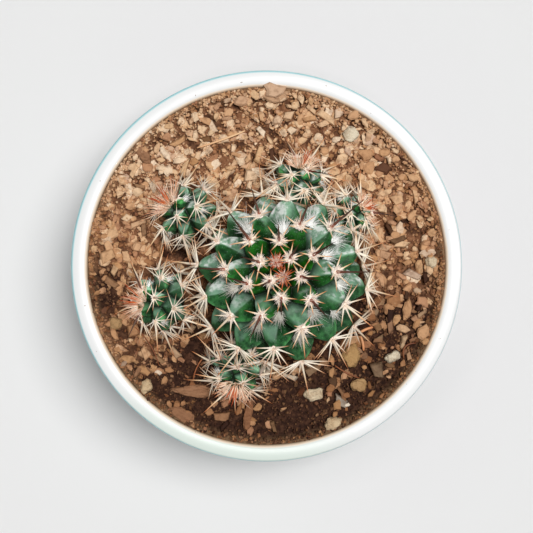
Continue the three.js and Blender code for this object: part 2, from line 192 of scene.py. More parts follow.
def srgb(red, green, blue):
    # a colour from 0 to 255 as linear light: ((c + 0.055) / 1.055) to the power of 2.4
    c = np.array([red, green, blue]) / 255
    linear = np.where(c <= 0.04045, c / 12.92, ((c + 0.055) / 1.055) ** 2.4)
    return (*(float(v) for v in linear), 1.0)


class Wire:
    # one socket; + - * / ** on values add their Math nodes, with numbers on either side
    def __init__(self, tree, socket=None):
        self.tree, self.socket = tree, socket

    def node(self, kind, settings=(), inputs=(), output=0):
        # any node: its settings first, then the values or links of its sockets
        made = self.tree.nodes.new("ShaderNode" + kind)
        for key, value in dict(settings).items():
            if key != "stops":
                setattr(made, key, value)
                continue
            elements = made.color_ramp.elements
            while len(elements) < len(value):
                elements.new(1.0)
            for element, (place, color) in zip(elements, value):
                element.position, element.color = place, srgb(*color)
        usable = [socket for socket in made.inputs if socket.enabled]
        pairs = inputs.items() if isinstance(inputs, dict) else enumerate(inputs)
        for key, value in pairs:
            target = usable[key] if isinstance(key, int) else made.inputs[key]
            if isinstance(value, Wire):
                self.tree.links.new(value.socket, target)
            else:
                target.default_value = value
        if isinstance(output, str):
            return Wire(self.tree, made.outputs[output])
        return Wire(self.tree, [socket for socket in made.outputs if socket.enabled][output])

    def math(self, operation, *values):
        # one Math node with these values
        return self.node("Math", {"operation": operation}, values)

    def step(self, low, high):
        # 0 below low, 1 above high, an S curve between
        values = {"Value": self, "From Min": low, "From Max": high}
        return self.node("MapRange", {"interpolation_type": "SMOOTHSTEP"}, values)

    def ramp(self, stops):
        # each stop: a place from 0 to 1 and a colour
        return self.node("ValToRGB", {"stops": stops}, [self])

    def mix(self, first, second):
        # the first colour where this value is 0, the second where it is 1
        colors = [srgb(*color) if isinstance(color, tuple) else color for color in (first, second)]
        return self.node("Mix", {"data_type": "RGBA"}, [self, *colors])

    def noise(self, scale, detail=3.0, roughness=0.55):
        # soft random pattern from 0 to 1, with about scale blots a metre
        values = {"Vector": self, "Scale": scale, "Detail": detail, "Roughness": roughness}
        return self.node("TexNoise", {}, values, "Fac")


def operatorOf(operation, swapped):
    # what an operator does with a wire and the other value
    def work(self, other):
        # swapped where the wire stands on the right
        return self.math(operation, *((other, self) if swapped else (self, other)))
    return work


for sign, operation in (("add", "ADD"), ("sub", "SUBTRACT"), ("mul", "MULTIPLY"), ("truediv", "DIVIDE"),
                        ("pow", "POWER")):
    setattr(Wire, "__" + sign + "__", operatorOf(operation, False))
    setattr(Wire, "__r" + sign + "__", operatorOf(operation, True))


def newMaterial(name, build, **constants):
    # build(start, place) returns what feeds each socket of the shader
    material = bpy.data.materials.new(name)
    material.use_nodes = True
    tree = material.node_tree
    shader = tree.nodes["Principled BSDF"]
    for key, value in constants.items():
        shader.inputs[key].default_value = value
    start = Wire(tree)
    place = start.node("TexCoord", {}, {}, "Object")
    for key, wire in build(start, place).items():
        tree.links.new(wire.socket, shader.inputs[key])
    return material


def attribute(start, name):
    # a value that the mesh holds at each point
    return start.node("Attribute", {"attribute_name": name}, {}, "Fac")


def coordinates(start, place):
    # x, y and z of a place, in metres
    split = start.node("SeparateXYZ", {}, [place]).socket.node
    return [Wire(start.tree, split.outputs[i]) for i in range(3)]


def bump(start, height, distance, strength=1.0):
    # relief: the height's value * distance, in metres
    return start.node("Bump", {}, {"Height": height, "Distance": distance, "Strength": strength})


def buildGlaze(start, place):
    # white on the lip, with a painted mint shade on its lower side; aqua on the outside and wider at the
    # upper left; cream where it meets the soil, turning tan down the inner wall
    x, y, z = coordinates(start, place)
    radius = (x * x + y * y) ** 0.5
    cloudy = place.noise(60, 4)
    plain = cloudy.step(0.35, 0.7).mix((239, 240, 240), (237, 238, 238))
    # painted shade: the lower side of the lip is tinted mint
    white = (0.0 - 0.2 * x - 0.98 * y).step(0.042, 0.058).mix(plain, (220, 231, 223))
    wall = z.step(0.05, 0.09).mix((226, 240, 240), (172, 226, 231))
    below = (1 - z.step(0.085, 0.09)) * radius.step(0.04, 0.042)
    leaning = 0.004 * x - 0.0035 * y
    aqua = start.math("MAXIMUM", (radius - leaning).step(0.0592, 0.0598), below)
    outside = aqua.mix(white, wall)
    # the inner wall turns from white through cream to tan down towards the soil
    inward = (1 - radius.step(0.0546, 0.0561) + 0.3 * (place.noise(260, 4) - 0.5)) * z.step(0.085, 0.0875)
    innerWallTone = inward.ramp([(0.1, (252, 244, 232)), (0.5, (246, 228, 206)), (0.95, (212, 186, 156))])
    cream = inward.step(0.05, 0.35).mix(outside, innerWallTone)
    specks = place.noise(700, 1).step(0.76, 0.8) * (1 - radius.step(0.0575, 0.059)) * 0.7
    return {
        "Base Color": specks.mix(cream, (130, 102, 78)),
        "Roughness": 0.25 + 0.2 * cloudy,
        "Normal": bump(start, place.noise(90, 2), 0.0003, 0.08),
    }


def buildSkin(start, place):
    # deep green, fresher near the stem's tip; painted light: a pale sheen and white glints on facets that
    # face the window and look outwards, random light and shade from facet to facet, and shade in the creases
    ridge, age, outer, facet, sheen = (
        attribute(start, key) for key in ("ridge", "age", "outer", "facet", "sheen"))
    mottle, cloudy, fine = place.noise(480, 5), place.noise(230, 4), place.noise(2600, 3)
    fresh = age.ramp([(0.0, (70, 178, 18)), (0.2, (52, 176, 30)), (0.4, (82, 182, 92)),
                      (1.0, (124, 184, 130))])
    deep = age.ramp([(0.0, (16, 70, 2)), (0.2, (8, 52, 4)), (0.45, (12, 52, 22)),
                     (1.0, (28, 62, 38))])
    # painted light and shade over real mottling: brighter on the outer side and on some facets, painted shade
    # towards the creases
    shaded = (0.25 + 0.75 * outer) * mottle.step(0.3, 0.68) * (0.5 + 0.5 * facet) * ridge.step(-0.1, 0.7)
    body = (shaded * 1.45).mix(deep, fresh)
    # painted reflection of a window, pale blue-green on the outer facets
    lit = (0.14 * facet + sheen).step(0.18, 0.75)
    paintedSheenShare = lit * (0.35 + 0.65 * outer) * age.step(0.08, 0.34)
    withPaintedSheen = (paintedSheenShare * (0.3 + 0.7 * cloudy.step(0.32, 0.62))).mix(body, (194, 246, 214))
    patchy = ridge.step(0.05, 0.4) * place.noise(420, 3).step(0.38, 0.66)
    # painted highlight: white glints within the brightest painted sheen
    glint = (1.8 * paintedSheenShare * patchy * sheen.step(0.5, 1.0)).step(0, 1)
    bright = glint.mix(withPaintedSheen, (255, 255, 255))
    # painted shade: near black down in the creases between tubercles
    crease = ((1 - ridge.step(-0.05, 0.42)) * 0.95).mix(bright, (14, 18, 8))
    relief = place.noise(700, 3) + 0.3 * fine
    return {
        "Base Color": (fine.step(0.6, 0.7) * 0.3).mix(crease, (150, 188, 164)),
        "Roughness": 0.4 + 0.2 * mottle,
        "Normal": bump(start, relief, 0.0002, 0.8),
    }


def buildFelt(start, place):
    # cream fluff, rust brown where it is new, darker between its fibres
    tint = attribute(start, "tint")
    clean = tint.ramp([(0.0, (255, 248, 240)), (0.5, (248, 226, 208)), (1.0, (150, 62, 30))])
    fluff = place.noise(1800, 3)
    color = (fluff.step(0.5, 0.72) * 0.25).mix(clean, (196, 158, 130))
    return {
        "Base Color": color,
        # painted light: the felt glows a little with its own colour
        "Emission Color": color,
        "Normal": bump(start, fluff, 0.0003, 0.8),
    }


def buildSpine(start, place):
    # outer spines are ivory to orange-tan, paler when old; middle ones brown to black; new ones orange
    along, dark, fresh, pale = (attribute(start, key) for key in ("along", "dark", "fresh", "pale"))
    tan = along.ramp([(0.0, (246, 226, 200)), (0.3, (254, 240, 216)), (0.55, (250, 208, 160)),
                      (0.85, (226, 140, 88)), (1.0, (150, 78, 50))])
    ivory = along.ramp([(0.0, (240, 204, 162)), (0.12, (255, 248, 234)), (0.6, (254, 240, 218)),
                        (0.85, (238, 186, 142)), (1.0, (192, 116, 74))])
    brown = along.ramp([(0.0, (178, 94, 62)), (0.12, (102, 46, 30)), (0.4, (60, 25, 16)),
                        (1.0, (18, 9, 7))])
    orange = along.ramp([(0.0, (242, 192, 146)), (0.3, (226, 114, 52)), (1.0, (184, 56, 16))])
    streak = place.noise(1500, 2)
    color = fresh.mix(dark.mix(pale.mix(tan, ivory), brown), orange)
    return {
        "Base Color": (streak.step(0.5, 0.8) * 0.12).mix(color, (150, 96, 62)),
        # painted light: the spine glows a little with its own colour
        "Emission Color": color,
        "Roughness": 0.4 + 0.2 * streak,
    }


def buildWool(start, place):
    # bright hair, which also glows a little with its own colour: painted light
    color = attribute(start, "tint").ramp([(0.0, (255, 255, 253)), (1.0, (204, 198, 184))])
    return {"Base Color": color, "Emission Color": color}


def buildChip(start, place):
    # each chip has one tone and hue, painted shade down its sides, and is darker still where it is damp or
    # lies in the painted shade of a hollow
    tone, hue, moist, rise = (attribute(start, key) for key in ("tone", "hue", "moist", "rise"))
    grain = place.noise(700, 4)
    body = tone.ramp([(0.0, (82, 45, 28)), (0.2, (126, 79, 50)), (0.4, (168, 118, 80)),
                      (0.6, (212, 164, 122)), (0.8, (238, 202, 162)), (1.0, (252, 236, 214))])
    mauve = (hue.step(0.55, 1.0) * 0.5).mix(body, (176, 124, 98))
    ochre = ((1 - hue.step(0.0, 0.3)) * 0.3).mix(mauve, (198, 152, 98))
    dirt = (grain.step(0.4, 0.8) * 0.58).mix(ochre, (122, 80, 54))
    # painted shade: darker down each chip's sides, a soft dark outline
    lower = ((1 - rise.step(0.05, 0.55)) * 0.6).mix(dirt, (104, 66, 42))
    return {
        "Base Color": (moist * 0.97).mix(lower, (50, 29, 21)),
        "Roughness": 0.94 - 0.25 * moist,
        "Normal": bump(start, grain + 0.3 * place.noise(2600, 2), 0.0005, 0.8),
    }


def buildSoil(start, place):
    # crumbly brown, darker where it is damp and in the painted shade of the hollows, paler where it meets the
    # wall
    x, y, _ = coordinates(start, place)
    crumbs = place.noise(800, 5)
    dry = crumbs.ramp([(0.3, (98, 61, 40)), (0.5, (136, 93, 65)), (0.75, (164, 120, 88))])
    damp = crumbs.ramp([(0.3, (36, 21, 15)), (0.5, (60, 37, 27)), (0.75, (92, 62, 44))])
    color = attribute(start, "moist").mix(dry, damp)
    edge = ((x * x + y * y) ** 0.5).step(0.0515, 0.054) * 0.6
    return {
        "Base Color": edge.mix(color, crumbs.ramp([(0.3, (92, 68, 46)), (0.7, (166, 132, 98))])),
        "Normal": bump(start, crumbs, 0.0009, 0.8),
    }


def buildStone(start, place):
    # dry and dusty, stained along its veins
    tone, hue = attribute(start, "tone"), attribute(start, "hue")
    vein = place.noise(420, 5, 0.65)
    speck = place.noise(2400, 2)
    body = tone.ramp([(0.0, (146, 108, 70)), (0.5, (198, 158, 106)), (1.0, (246, 234, 206))])
    greyed = hue.mix(body, (194, 174, 154))
    stained = (vein.step(0.42, 0.7) * 0.5).mix(greyed, (148, 106, 64))
    color = (speck.step(0.6, 0.72) * 0.35).mix(stained, (96, 70, 46))
    return {
        "Base Color": color,
        "Roughness": 0.7 + 0.25 * vein,
        "Normal": bump(start, vein + 0.3 * speck, 0.0009, 1.0),
    }


def buildBark(start, place):
    # brown, with darker fibres that run along x
    tone = attribute(start, "tone")
    stretched = start.node("Mapping", {}, {"Vector": place, "Scale": (0.35, 1.0, 1.0)})
    fibre = stretched.noise(1300, 5, 0.7)
    body = tone.ramp([(0.0, (92, 56, 38)), (0.5, (150, 104, 74)), (1.0, (212, 170, 134))])
    color = (fibre.step(0.42, 0.7) * 0.5).mix(body, (104, 68, 44))
    return {"Base Color": color, "Normal": bump(start, fibre, 0.0007, 0.9)}


def buildFloor(start, place):
    # even grey; a little deeper by the sunny side of the pot, painted shade that evens out the light the pot
    # throws back onto it, and a narrow painted contact shadow by the other sides
    x, y, _ = coordinates(start, place)
    far = (x * x + y * y) ** 0.5
    near = (1 - far.step(0.068, 0.13)) * (0.87 * x + 0.5 * y).step(-0.08, 0.03)
    hem = (1 - far.step(0.071, 0.077)) * (1 - x.step(0.03, 0.06))
    low = (1 - far.step(0.073, 0.09)) * (0.2 * x - y).step(0.02, 0.065)
    bright = near.mix((233.5, 233, 233), (229, 227, 228))
    return {"Base Color": (0.5 * hem + 0.6 * low).mix(bright, (218, 218, 218))}


finishes = {
    "glaze": newMaterial("potGlaze", buildGlaze, **{
        "Coat Weight": 0.12, "Coat Roughness": 0.15, "Specular IOR Level": 0.25}),
    "skin": newMaterial("cactusSkin", buildSkin, **{"Specular IOR Level": 0.28}),
    # felt, spines and wool glow a little: painted light, not lamps
    "felt": newMaterial("areoleFelt", buildFelt, **{"Roughness": 0.95, "Emission Strength": 0.13}),
    "spine": newMaterial("spineHorn", buildSpine, **{"Specular IOR Level": 0.3, "Emission Strength": 0.1}),
    "wool": newMaterial("axilWool", buildWool, **{"Roughness": 0.9, "Emission Strength": 0.12}),
    "chip": newMaterial("soilChip", buildChip, **{"Specular IOR Level": 0.12}),
    "soil": newMaterial("moistCompost", buildSoil, **{"Roughness": 0.9, "Specular IOR Level": 0.15}),
    "stone": newMaterial("dryPebble", buildStone, **{"Specular IOR Level": 0.2}),
    "bark": newMaterial("barkChip", buildBark, **{"Roughness": 0.92, "Specular IOR Level": 0.15}),
    "floor": newMaterial("paleFloor", buildFloor, **{"Roughness": 0.9, "Specular IOR Level": 0.0}),
}
print("materials made:", len(finishes))


view = {
    "aboveRim": 450.0,      # mm from the rim's widest circle up to the camera
    "rimHeight": 90.3,
    "rimPixels": 391.0,     # width of the rim in the 533 pixel frame
    "rimAcross": 120.0,
    "framePixels": 533.0,
    "centreShift": -0.15,   # mm that the camera stands off the pot's axis, in y
    "sensor": 36.0,
}
lights = {
    # degrees: heading of the light seen from the pot, how far it stands from straight overhead, and
    # how wide it looks; watts per square metre on the floor; colour
    "windowHigh": {"heading": 27.4, "zenith": 13.0, "width": 20.2, "floor": 1.92, "color": (1.0, 1.0, 0.995)},
    "windowLow": {"heading": 32.9, "zenith": 7.2, "width": 17.6, "floor": 1.1, "color": (1.0, 1.0, 0.995)},
}
sky = {"color": (0.98, 0.99, 1.0), "strength": 0.022}


def makeCamera():
    # focal length = pixels a mm at the rim * distance * sensor width / frame width in pixels
    camera = bpy.data.objects.new("topCamera", bpy.data.cameras.new("topCamera"))
    bpy.context.scene.collection.objects.link(camera)
    pixelsPerMm = view["rimPixels"] / view["rimAcross"]
    camera.data.sensor_width = view["sensor"]
    camera.data.lens = pixelsPerMm * view["aboveRim"] * view["sensor"] / view["framePixels"]
    camera.data.clip_start = 0.01
    camera.location = (0, view["centreShift"] * mm, (view["aboveRim"] + view["rimHeight"]) * mm)
    bpy.context.scene.camera = camera


def makeLights():
    # wide far lamps: each one's strength is its light on the floor / cosine of its zenith angle
    for name, light in lights.items():
        zenith = np.radians(light["zenith"])
        way = Vector(direction(zenith, np.radians(light["heading"])))
        lamp = bpy.data.lights.new(name, "SUN")
        lamp.angle, lamp.color = np.radians(light["width"]), light["color"]
        lamp.energy = light["floor"] / np.cos(zenith)
        holder = bpy.data.objects.new(name, lamp)
        holder.location = way
        holder.rotation_euler = (-way).to_track_quat("-Z", "Y").to_euler()
        bpy.context.scene.collection.objects.link(holder)
    world = bpy.data.worlds.new("softSky")
    world.use_nodes = True
    background = world.node_tree.nodes["Background"]
    background.inputs["Color"].default_value = (*sky["color"], 1.0)
    background.inputs["Strength"].default_value = sky["strength"]
    bpy.context.scene.world = world
    bpy.context.scene.view_settings.view_transform = "Standard"


def makeFloor():
    # a flat square, 6 m wide
    corner = np.array([[-1, -1, 0], [1, -1, 0], [1, 1, 0], [-1, 1, 0]]) * 3.0
    mesh = bpy.data.meshes.new("paleFloor")
    mesh.from_pydata(corner.tolist(), [], [(0, 1, 2, 3)])
    mesh.materials.append(finishes["floor"])
    floor = bpy.data.objects.new("paleFloor", mesh)
    bpy.context.scene.collection.objects.link(floor)


makeCamera()
makeLights()
makeFloor()
print("camera, lights and floor made")


pot = {
    "height": 92.0, "rimRadius": 60.0, "footRadius": 42.0, "wall": 5.2, "flare": 0.8,
    "floorTop": 8.0, "footWidth": 4.5, "footDepth": 2.0, "drainRadius": 5.0,
    "rimRound": 1.7, "rimEdge": 0.8, "innerRound": 1.3, "crown": 0.1, "sides": 288, "clearance": 0.3,
}


def outerRadius(z):
    # the wall widens with a power of the height
    share = np.maximum(z, 0) / pot["height"]
    return pot["footRadius"] + (pot["rimRadius"] - pot["footRadius"]) * share ** pot["flare"]


def innerRadius(z):
    # the outside less the wall
    return outerRadius(z) - pot["wall"]


def arc(middle, radius, start, end, steps):
    # points round a middle from one angle to another, in degrees
    return joined(*onCircle(radius, np.radians(np.linspace(start, end, steps)))) + middle


def potProfile():
    # radius and height round the wall's section: foot, outside, crowned lip, inside, floor, drain hole
    height, lip, foot = pot["height"], pot["rimRound"], pot["footRadius"]
    innerLip, crown = pot["innerRound"], pot["crown"]
    inner = pot["rimRadius"] - pot["wall"]
    up = np.linspace(2.4, height - lip - 0.5, 40)
    down = np.linspace(height - lip - 1.0, pot["floorTop"] + 3.0, 30)
    sill = foot - pot["footWidth"]
    # the lip's outer corner is a quarter of an ellipse, taller than it is wide
    turn, edge = np.radians(np.linspace(0, 86, 14)), pot["rimEdge"]
    corner = np.stack([pot["rimRadius"] - edge * (1 - np.cos(turn)),
                       height - crown - lip * (1 - np.sin(turn))], -1)
    ridge = np.linspace(pot["rimRadius"] - edge, inner + innerLip, 14)
    share = (ridge - ridge[-1]) / (ridge[0] - ridge[-1])
    top = joined(ridge, height - crown + crown * 4 * share * (1 - share))
    return np.concatenate([
        [[pot["drainRadius"] + 0.6, pot["footDepth"]], [sill - 1.6, pot["footDepth"]]],
        arc((sill - 1.2, pot["footDepth"] - 0.6), 0.6, 80, 10, 4),
        arc((sill + 0.7, 0.7), 0.7, 200, 270, 4),
        arc((foot - 1.2, 1.2), 1.2, 270, 330, 5),
        joined(outerRadius(up), up),
        corner,
        top,
        arc((inner + innerLip, height - crown - innerLip), innerLip, 110, 180, 6),
        joined(innerRadius(down), down),
        arc((innerRadius(pot["floorTop"]) - 2.6, pot["floorTop"] + 2.6), 2.6, 0, -90, 7),
        [[pot["drainRadius"] + 0.6, pot["floorTop"]]],
        [[pot["drainRadius"], pot["floorTop"] - 0.6], [pot["drainRadius"], pot["footDepth"] + 0.6]],
    ])


def makePot():
    # the wall's section carried round the axis
    profile = potProfile()
    addPiece("glazedPot", turned(profile, pot["sides"]), hoopFaces(len(profile), pot["sides"]),
             "glaze", "pot_glaze", ["pot"])


makePot()
print("pot made")


ground = {
    # mm: the soil's level, a low mound round the main stem, a bank along the wall
    "top": pot["height"] - 2.6, "mound": 0.8, "moundReach": 26.0, "moundPower": 4,
    "bank": 1.1, "bankWidth": 9.0,
    # the bed under the chips lies lower; waves of relief, as share and length in mm
    "sunk": 1.1, "roughness": 0.7, "waves": ((0.6, 9.0), (0.4, 2.6)), "cols": 256, "rings": 90,
    # over the last few mm before the wall it rises, is smoother and spreads out
    "hem": (2.5, 0.3), "hemRise": 0.95, "hemSmooth": 0.6, "hemSpread": 0.011,
    "heel": 3.0, "shoulder": 1.0, "sideRows": 20, "damp": (0.05, 0.6),  # dry below, damp above
}
mainPlace = (4.6, -3.7)  # where the main stem stands


def soilHeight(x, y):
    # level, with a low flat mound round the main stem and a low bank along the wall
    away = np.hypot(x - mainPlace[0], y - mainPlace[1])
    mound = ground["mound"] * np.exp(-((away / ground["moundReach"]) ** ground["moundPower"]))
    edge = innerRadius(ground["top"])
    bank = ground["bank"] * smoothStep(np.hypot(x, y), edge - ground["bankWidth"], edge)
    return ground["top"] + mound + bank


moisture = {
    "way": (0.1, -0.99), "from": -10.0, "to": 50.0, "patch": 14.0, "ragged": 7.0,
    # more damp or dry patches: x, y, reach in mm, how much
    "patches": ((-51.0, -6.0, 9.0, 34.0), (-20.0, -27.0, 9.0, 20.0), (31.0, -15.0, 8.0, 18.0),
                (-43.0, -26.0, 9.0, -14.0)),
}


def moistAt(x, y):
    # damper from the upper rim to the lower one, in patches
    reach = x * moisture["way"][0] + y * moisture["way"][1]
    ragged = moisture["ragged"] * waves(joined(x, y), moisture["patch"], seeds["soil"] + 4)
    for px, py, wide, much in moisture["patches"]:
        reach = reach + much * np.exp(-((x - px) ** 2 + (y - py) ** 2) / wide ** 2)
    return smoothStep(reach + ragged, moisture["from"], moisture["to"])


# Hollows: the chips and the bed lie a little lower there, and painted shade darkens them, the shadow between
# lumps and by the stems.
hollows = {
    "size": 7.0, "from": 0.4, "to": 0.95, "besideStem": 3.5, "stemShare": 0.7,
    # mm that the chips and the bed lie lower in them; how much painted shade darkens the chips, and how much
    # the bed, through its damp colour
    "deep": 0.5, "bedDeep": 0.3, "shade": 0.26, "bedShade": 0.75,
    # single pits of painted shadow: x, y, radius in mm; they go beyond 1, where the chips take painted shade
    # as dark as soaked ones, and fade between these shares of the radius
    "pits": ((-22.0, -25.5, 4.5), (29.0, 24.2, 1.6), (43.0, 14.0, 1.8), (37.5, 10.4, 1.8),
             (-26.0, 5.6, 4.6), (-31.0, 4.4, 2.4), (-21.0, 8.6, 4.0), (-22.6, 1.2, 3.0), (-20.0, -9.0, 3.0)),
    "pitDepth": 1.3, "pitFade": (0.5, 1.3), "deepShadeAbove": 0.97, "deepShade": 2.6,
}


def hollowAt(x, y):
    # 0 on the level soil, 1 in the small hollows of painted shade: where a soft wave is low, and close to a
    # stem
    wave = waves(joined(x, y), hollows["size"], seeds["soil"] + 7)
    hollow = smoothStep(-wave, hollows["from"], hollows["to"])
    for stem in stems.values():
        gap = np.hypot(x - stem["place"][0], y - stem["place"][1]) - stem["tip"]
        beside = 1 - smoothStep(gap, 0.0, hollows["besideStem"])
        hollow = np.maximum(hollow, hollows["stemShare"] * beside)
    near, far = hollows["pitFade"]
    for px, py, wide in hollows["pits"]:
        pit = 1 - smoothStep(np.hypot(x - px, y - py), near * wide, far * wide)
        hollow = np.maximum(hollow, hollows["pitDepth"] * pit)
    return hollow


def makeSoil():
    # a turned block inside the pot; its top is lifted by the mound and by waves of two lengths
    level, rings = ground["top"], ground["rings"]
    edge = innerRadius(level) - pot["clearance"]
    bottom = pot["floorTop"] + pot["clearance"]
    wall = np.linspace(bottom + ground["heel"], level - ground["shoulder"], ground["sideRows"])
    profile = np.concatenate([
        [[innerRadius(bottom) - ground["heel"], bottom]],
        joined(innerRadius(wall) - pot["clearance"], wall),
        joined(edge * (1 - np.arange(rings) / rings), np.full(rings, level)),
    ])
    points = turned(profile, ground["cols"]).reshape(-1, 3)
    points = np.concatenate([[[0, 0, bottom]], points, [[0, 0, level]]])
    onTop = points[:, 2] > level - 0.01
    x, y = points[onTop, :2].T
    lift = sum(share * waves(points[onTop, :2], length, seeds["soil"] + i)
               for i, (share, length) in enumerate(ground["waves"]))
    hem = smoothStep(np.hypot(x, y), *(edge - width for width in ground["hem"]))
    high = soilHeight(x, y) + ground["roughness"] * lift * (1 - ground["hemSmooth"] * hem)
    high += ground["hemRise"] * hem - ground["sunk"] * (1 - hem)
    points[onTop, 2] = high - hollows["bedDeep"] * hollowAt(x, y) * (1 - hem)
    points[onTop, :2] *= (1 + ground["hemSpread"] * hem)[:, None]
    x, y = points[:, 0], points[:, 1]
    # darker where it is damp, and painted shade in the hollows
    moist = np.maximum(smoothStep(moistAt(x, y), *ground["damp"]), hollows["bedShade"] * hollowAt(x, y))
    addPiece("compost", points, shellFaces(len(profile), ground["cols"]), "soil", "soil",
             ["soil"], moist=np.clip(moist, 0, 1))


# The solid soil's own chips, drawn by the same rule from the same values.
blocks = {
    "count": 76, "seed": 5, "length": (3.8, 7.6), "lengthPower": 1.6, "breadth": (0.55, 0.9),
    "thickness": (0.24, 0.4), "corners": 4, "cornerTurn": 0.3, "cornerReach": 0.24,
    "tilt": 20.0, "lift": (0.1, 0.6), "fromWall": 0.6, "perSide": 7,
    # section from the middle of the top to the middle of the bottom: share of the outline, height
    "section": ((0.35, 1.0), (0.66, 0.99), (0.77, 0.9), (0.84, 0.6), (0.92, 0.1), (1.0, -0.7), (0.9, -1.0)),
    "rough": 0.018, "tone": 0.66, "uneven": 0.14, "hollowShade": 0.3, "damp": (0.3, 0.9), "hollowDarker": 0.8,
}
# Smaller chips lie in layers: how many, length in mm, how far up they lie, rows and corners,
# width and thickness as shares of the length, how many go where it is damp, distance from the wall
# as a share of the length.
chipKeys = ("count", "size", "lift", "grid", "wide", "flat", "gone", "palest", "tone", "uneven", "inset")
chipKinds = {
    "slabs": (560, (3.4, 6.6), (-0.7, 0.5), (4, 8), (0.4, 0.85), (0.14, 0.3), 0.93, 0.9, 0.7, 0.15, 0.42),
    "flakes": (1800, (2.3, 4.8), (-1.0, 0.4), (3, 7), (0.4, 0.9), (0.2, 0.4), 0.9, 0.84, 0.66, 0.09, 0.36),
    "gritA": (3000, (1.2, 2.8), (-1.2, 0.1), (3, 6), (0.45, 0.95), (0.3, 0.6), 0.35, 0.86, 0.52, 0.08, 0.3),
    "gritB": (3000, (1.0, 2.2), (-1.1, 0.3), (3, 6), (0.45, 0.95), (0.3, 0.6), 0.3, 0.9, 0.52, 0.08, 0.3),
    "crumbs": (5600, (0.5, 1.2), (-0.8, 0.4), (2, 5), (0.5, 1.0), (0.5, 0.9), 0.0, 0.88, 0.47, 0.06, 0.2),
}
chips = {name: dict(zip(chipKeys, row)) for name, row in chipKinds.items()}
chipLooks = {
    # a power above 1 makes more small ones; lean in radians; mm round the main stem's middle without
    # chips, and mm past the soil's edge; how much smaller the damp ones are
    "sizePower": 1.7, "lean": 0.28, "underMain": 11.0, "over": 0.3, "shrunk": 0.25, "goneInHollow": 0.9,
    # share of the large and of the small chips that stay dry; how damp the dry ones get, and the others
    "dryLarge": 0.7, "drySmall": 0.04, "dryDamp": 0.12, "damp": (0.6, 1),
    # darker where it is damp, the dry ones more so; paler to the upper rim, and more so at its left:
    # how much, then from and to these mm
    "dampShade": 0.1, "dryShade": 0.08, "upper": (0.15, 2, 42), "left": (0.1, 8, 40), "leftAbove": (12, 32),
}
wallRise = {"high": 0.9, "wide": 7.0}  # mm that the chips are heaped up against the pot's wall
wallCrumbs = {"count": 1900, "size": (0.5, 1.6), "band": 1.6, "bandPower": 1.5, "over": 0.35,
              "lift": (-0.45, 0.35), "dry": 0.4}
# How uneven the corners of a flat chip are, how near they come, how much its top draws in.
shards = {"uneven": 0.32, "nearest": 0.62, "taper": 0.3, "rough": 0.06}


def withPoles(ring):
    # ring[shape, row, column, axis], with a pole above it at the height 1 and one below it at -1
    pole = np.zeros((len(ring), 1, 3))
    pole[..., 2] = 1
    return np.concatenate([pole, ring.reshape(len(ring), -1, 3), -pole], 1)


def shardPoints(grid, count, draw):
    # flat chips of length 1: uneven polygons, drawn in towards their flat tops and bottoms
    rows, cols = grid
    shift = draw.uniform(-shards["uneven"], shards["uneven"], (count, 1, cols))
    around = tau / cols * (np.arange(cols) + shift)
    reach = draw.uniform(shards["nearest"], 1.0, (count, 1, cols))
    level = np.linspace(1, -1, rows)[None, :, None]
    ring = reach * (1 - shards["taper"] * level ** 2)
    points = withPoles(joined(*onCircle(ring, around), level))
    return 0.5 * (points + draw.normal(0, shards["rough"], points.shape))


def lumpPoints(grid, draw, corners, swing, jitter):
    # one lump of length 1: a sphere whose outline is squared by a power below 1, pulled in and out
    # by a few waves round it, then every point is moved a little
    rows, cols = grid
    polar = (np.pi * (np.arange(rows) + 1) / (rows + 1))[None, :, None]
    around = tau * np.arange(cols) / cols
    power = draw.uniform(corners, corners, (1, 1, 1))
    swell = 0
    for k in (2, 3, 4):
        high = draw.uniform(0.2, 1, (1, 1, 1)) * swing / k
        swell = swell + high * np.cos(k * around + draw.uniform(0, tau, (1, 1, 1)))
    ring = np.sin(polar) ** power * (1 + swell)
    level = np.sign(np.cos(polar)) * np.abs(np.cos(polar)) ** power
    points = withPoles(joined(*onCircle(ring, around), level))
    return (0.5 * (points + draw.normal(0, jitter, points.shape)))[0]


def tilted(points, spin, lean, heading):
    # turned about +Z by spin, then leant over towards heading
    c, s = np.cos(spin)[:, None], np.sin(spin)[:, None]
    x, y = points[..., 0] * c - points[..., 1] * s, points[..., 0] * s + points[..., 1] * c
    hx, hy = np.cos(heading)[:, None], np.sin(heading)[:, None]
    reach = x * hx + y * hy
    c, s = np.cos(lean)[:, None], np.sin(lean)[:, None]
    further = reach * c + points[..., 2] * s - reach
    return joined(x + further * hx, y + further * hy, points[..., 2] * c - reach * s)


def drawFrom(seed):
    # the solids' repeatable draw from 0 to 1: each whole number is worked out from the last one
    state = 1 + round(seed * 7919)
    while True:
        state = state * 48271 % 2147483647
        yield state / 2147483647


def blockOutline(index):
    # an uneven polygon round each chip, its straight sides cut into equal steps
    corner = np.arange(blocks["corners"] + 1) % blocks["corners"]
    turn = blocks["cornerTurn"] * np.sin(7 * index + 3 * corner)
    reach = 1 + blocks["cornerReach"] * np.sin(5 * index + 2 * corner)
    angle = tau * (corner + turn) / blocks["corners"]
    places = joined(*onCircle(reach, angle))
    share = np.arange(blocks["perSide"])[None, :, None] / blocks["perSide"]
    return (places[:-1, None] * (1 - share) + places[1:, None] * share).reshape(-1, 2)


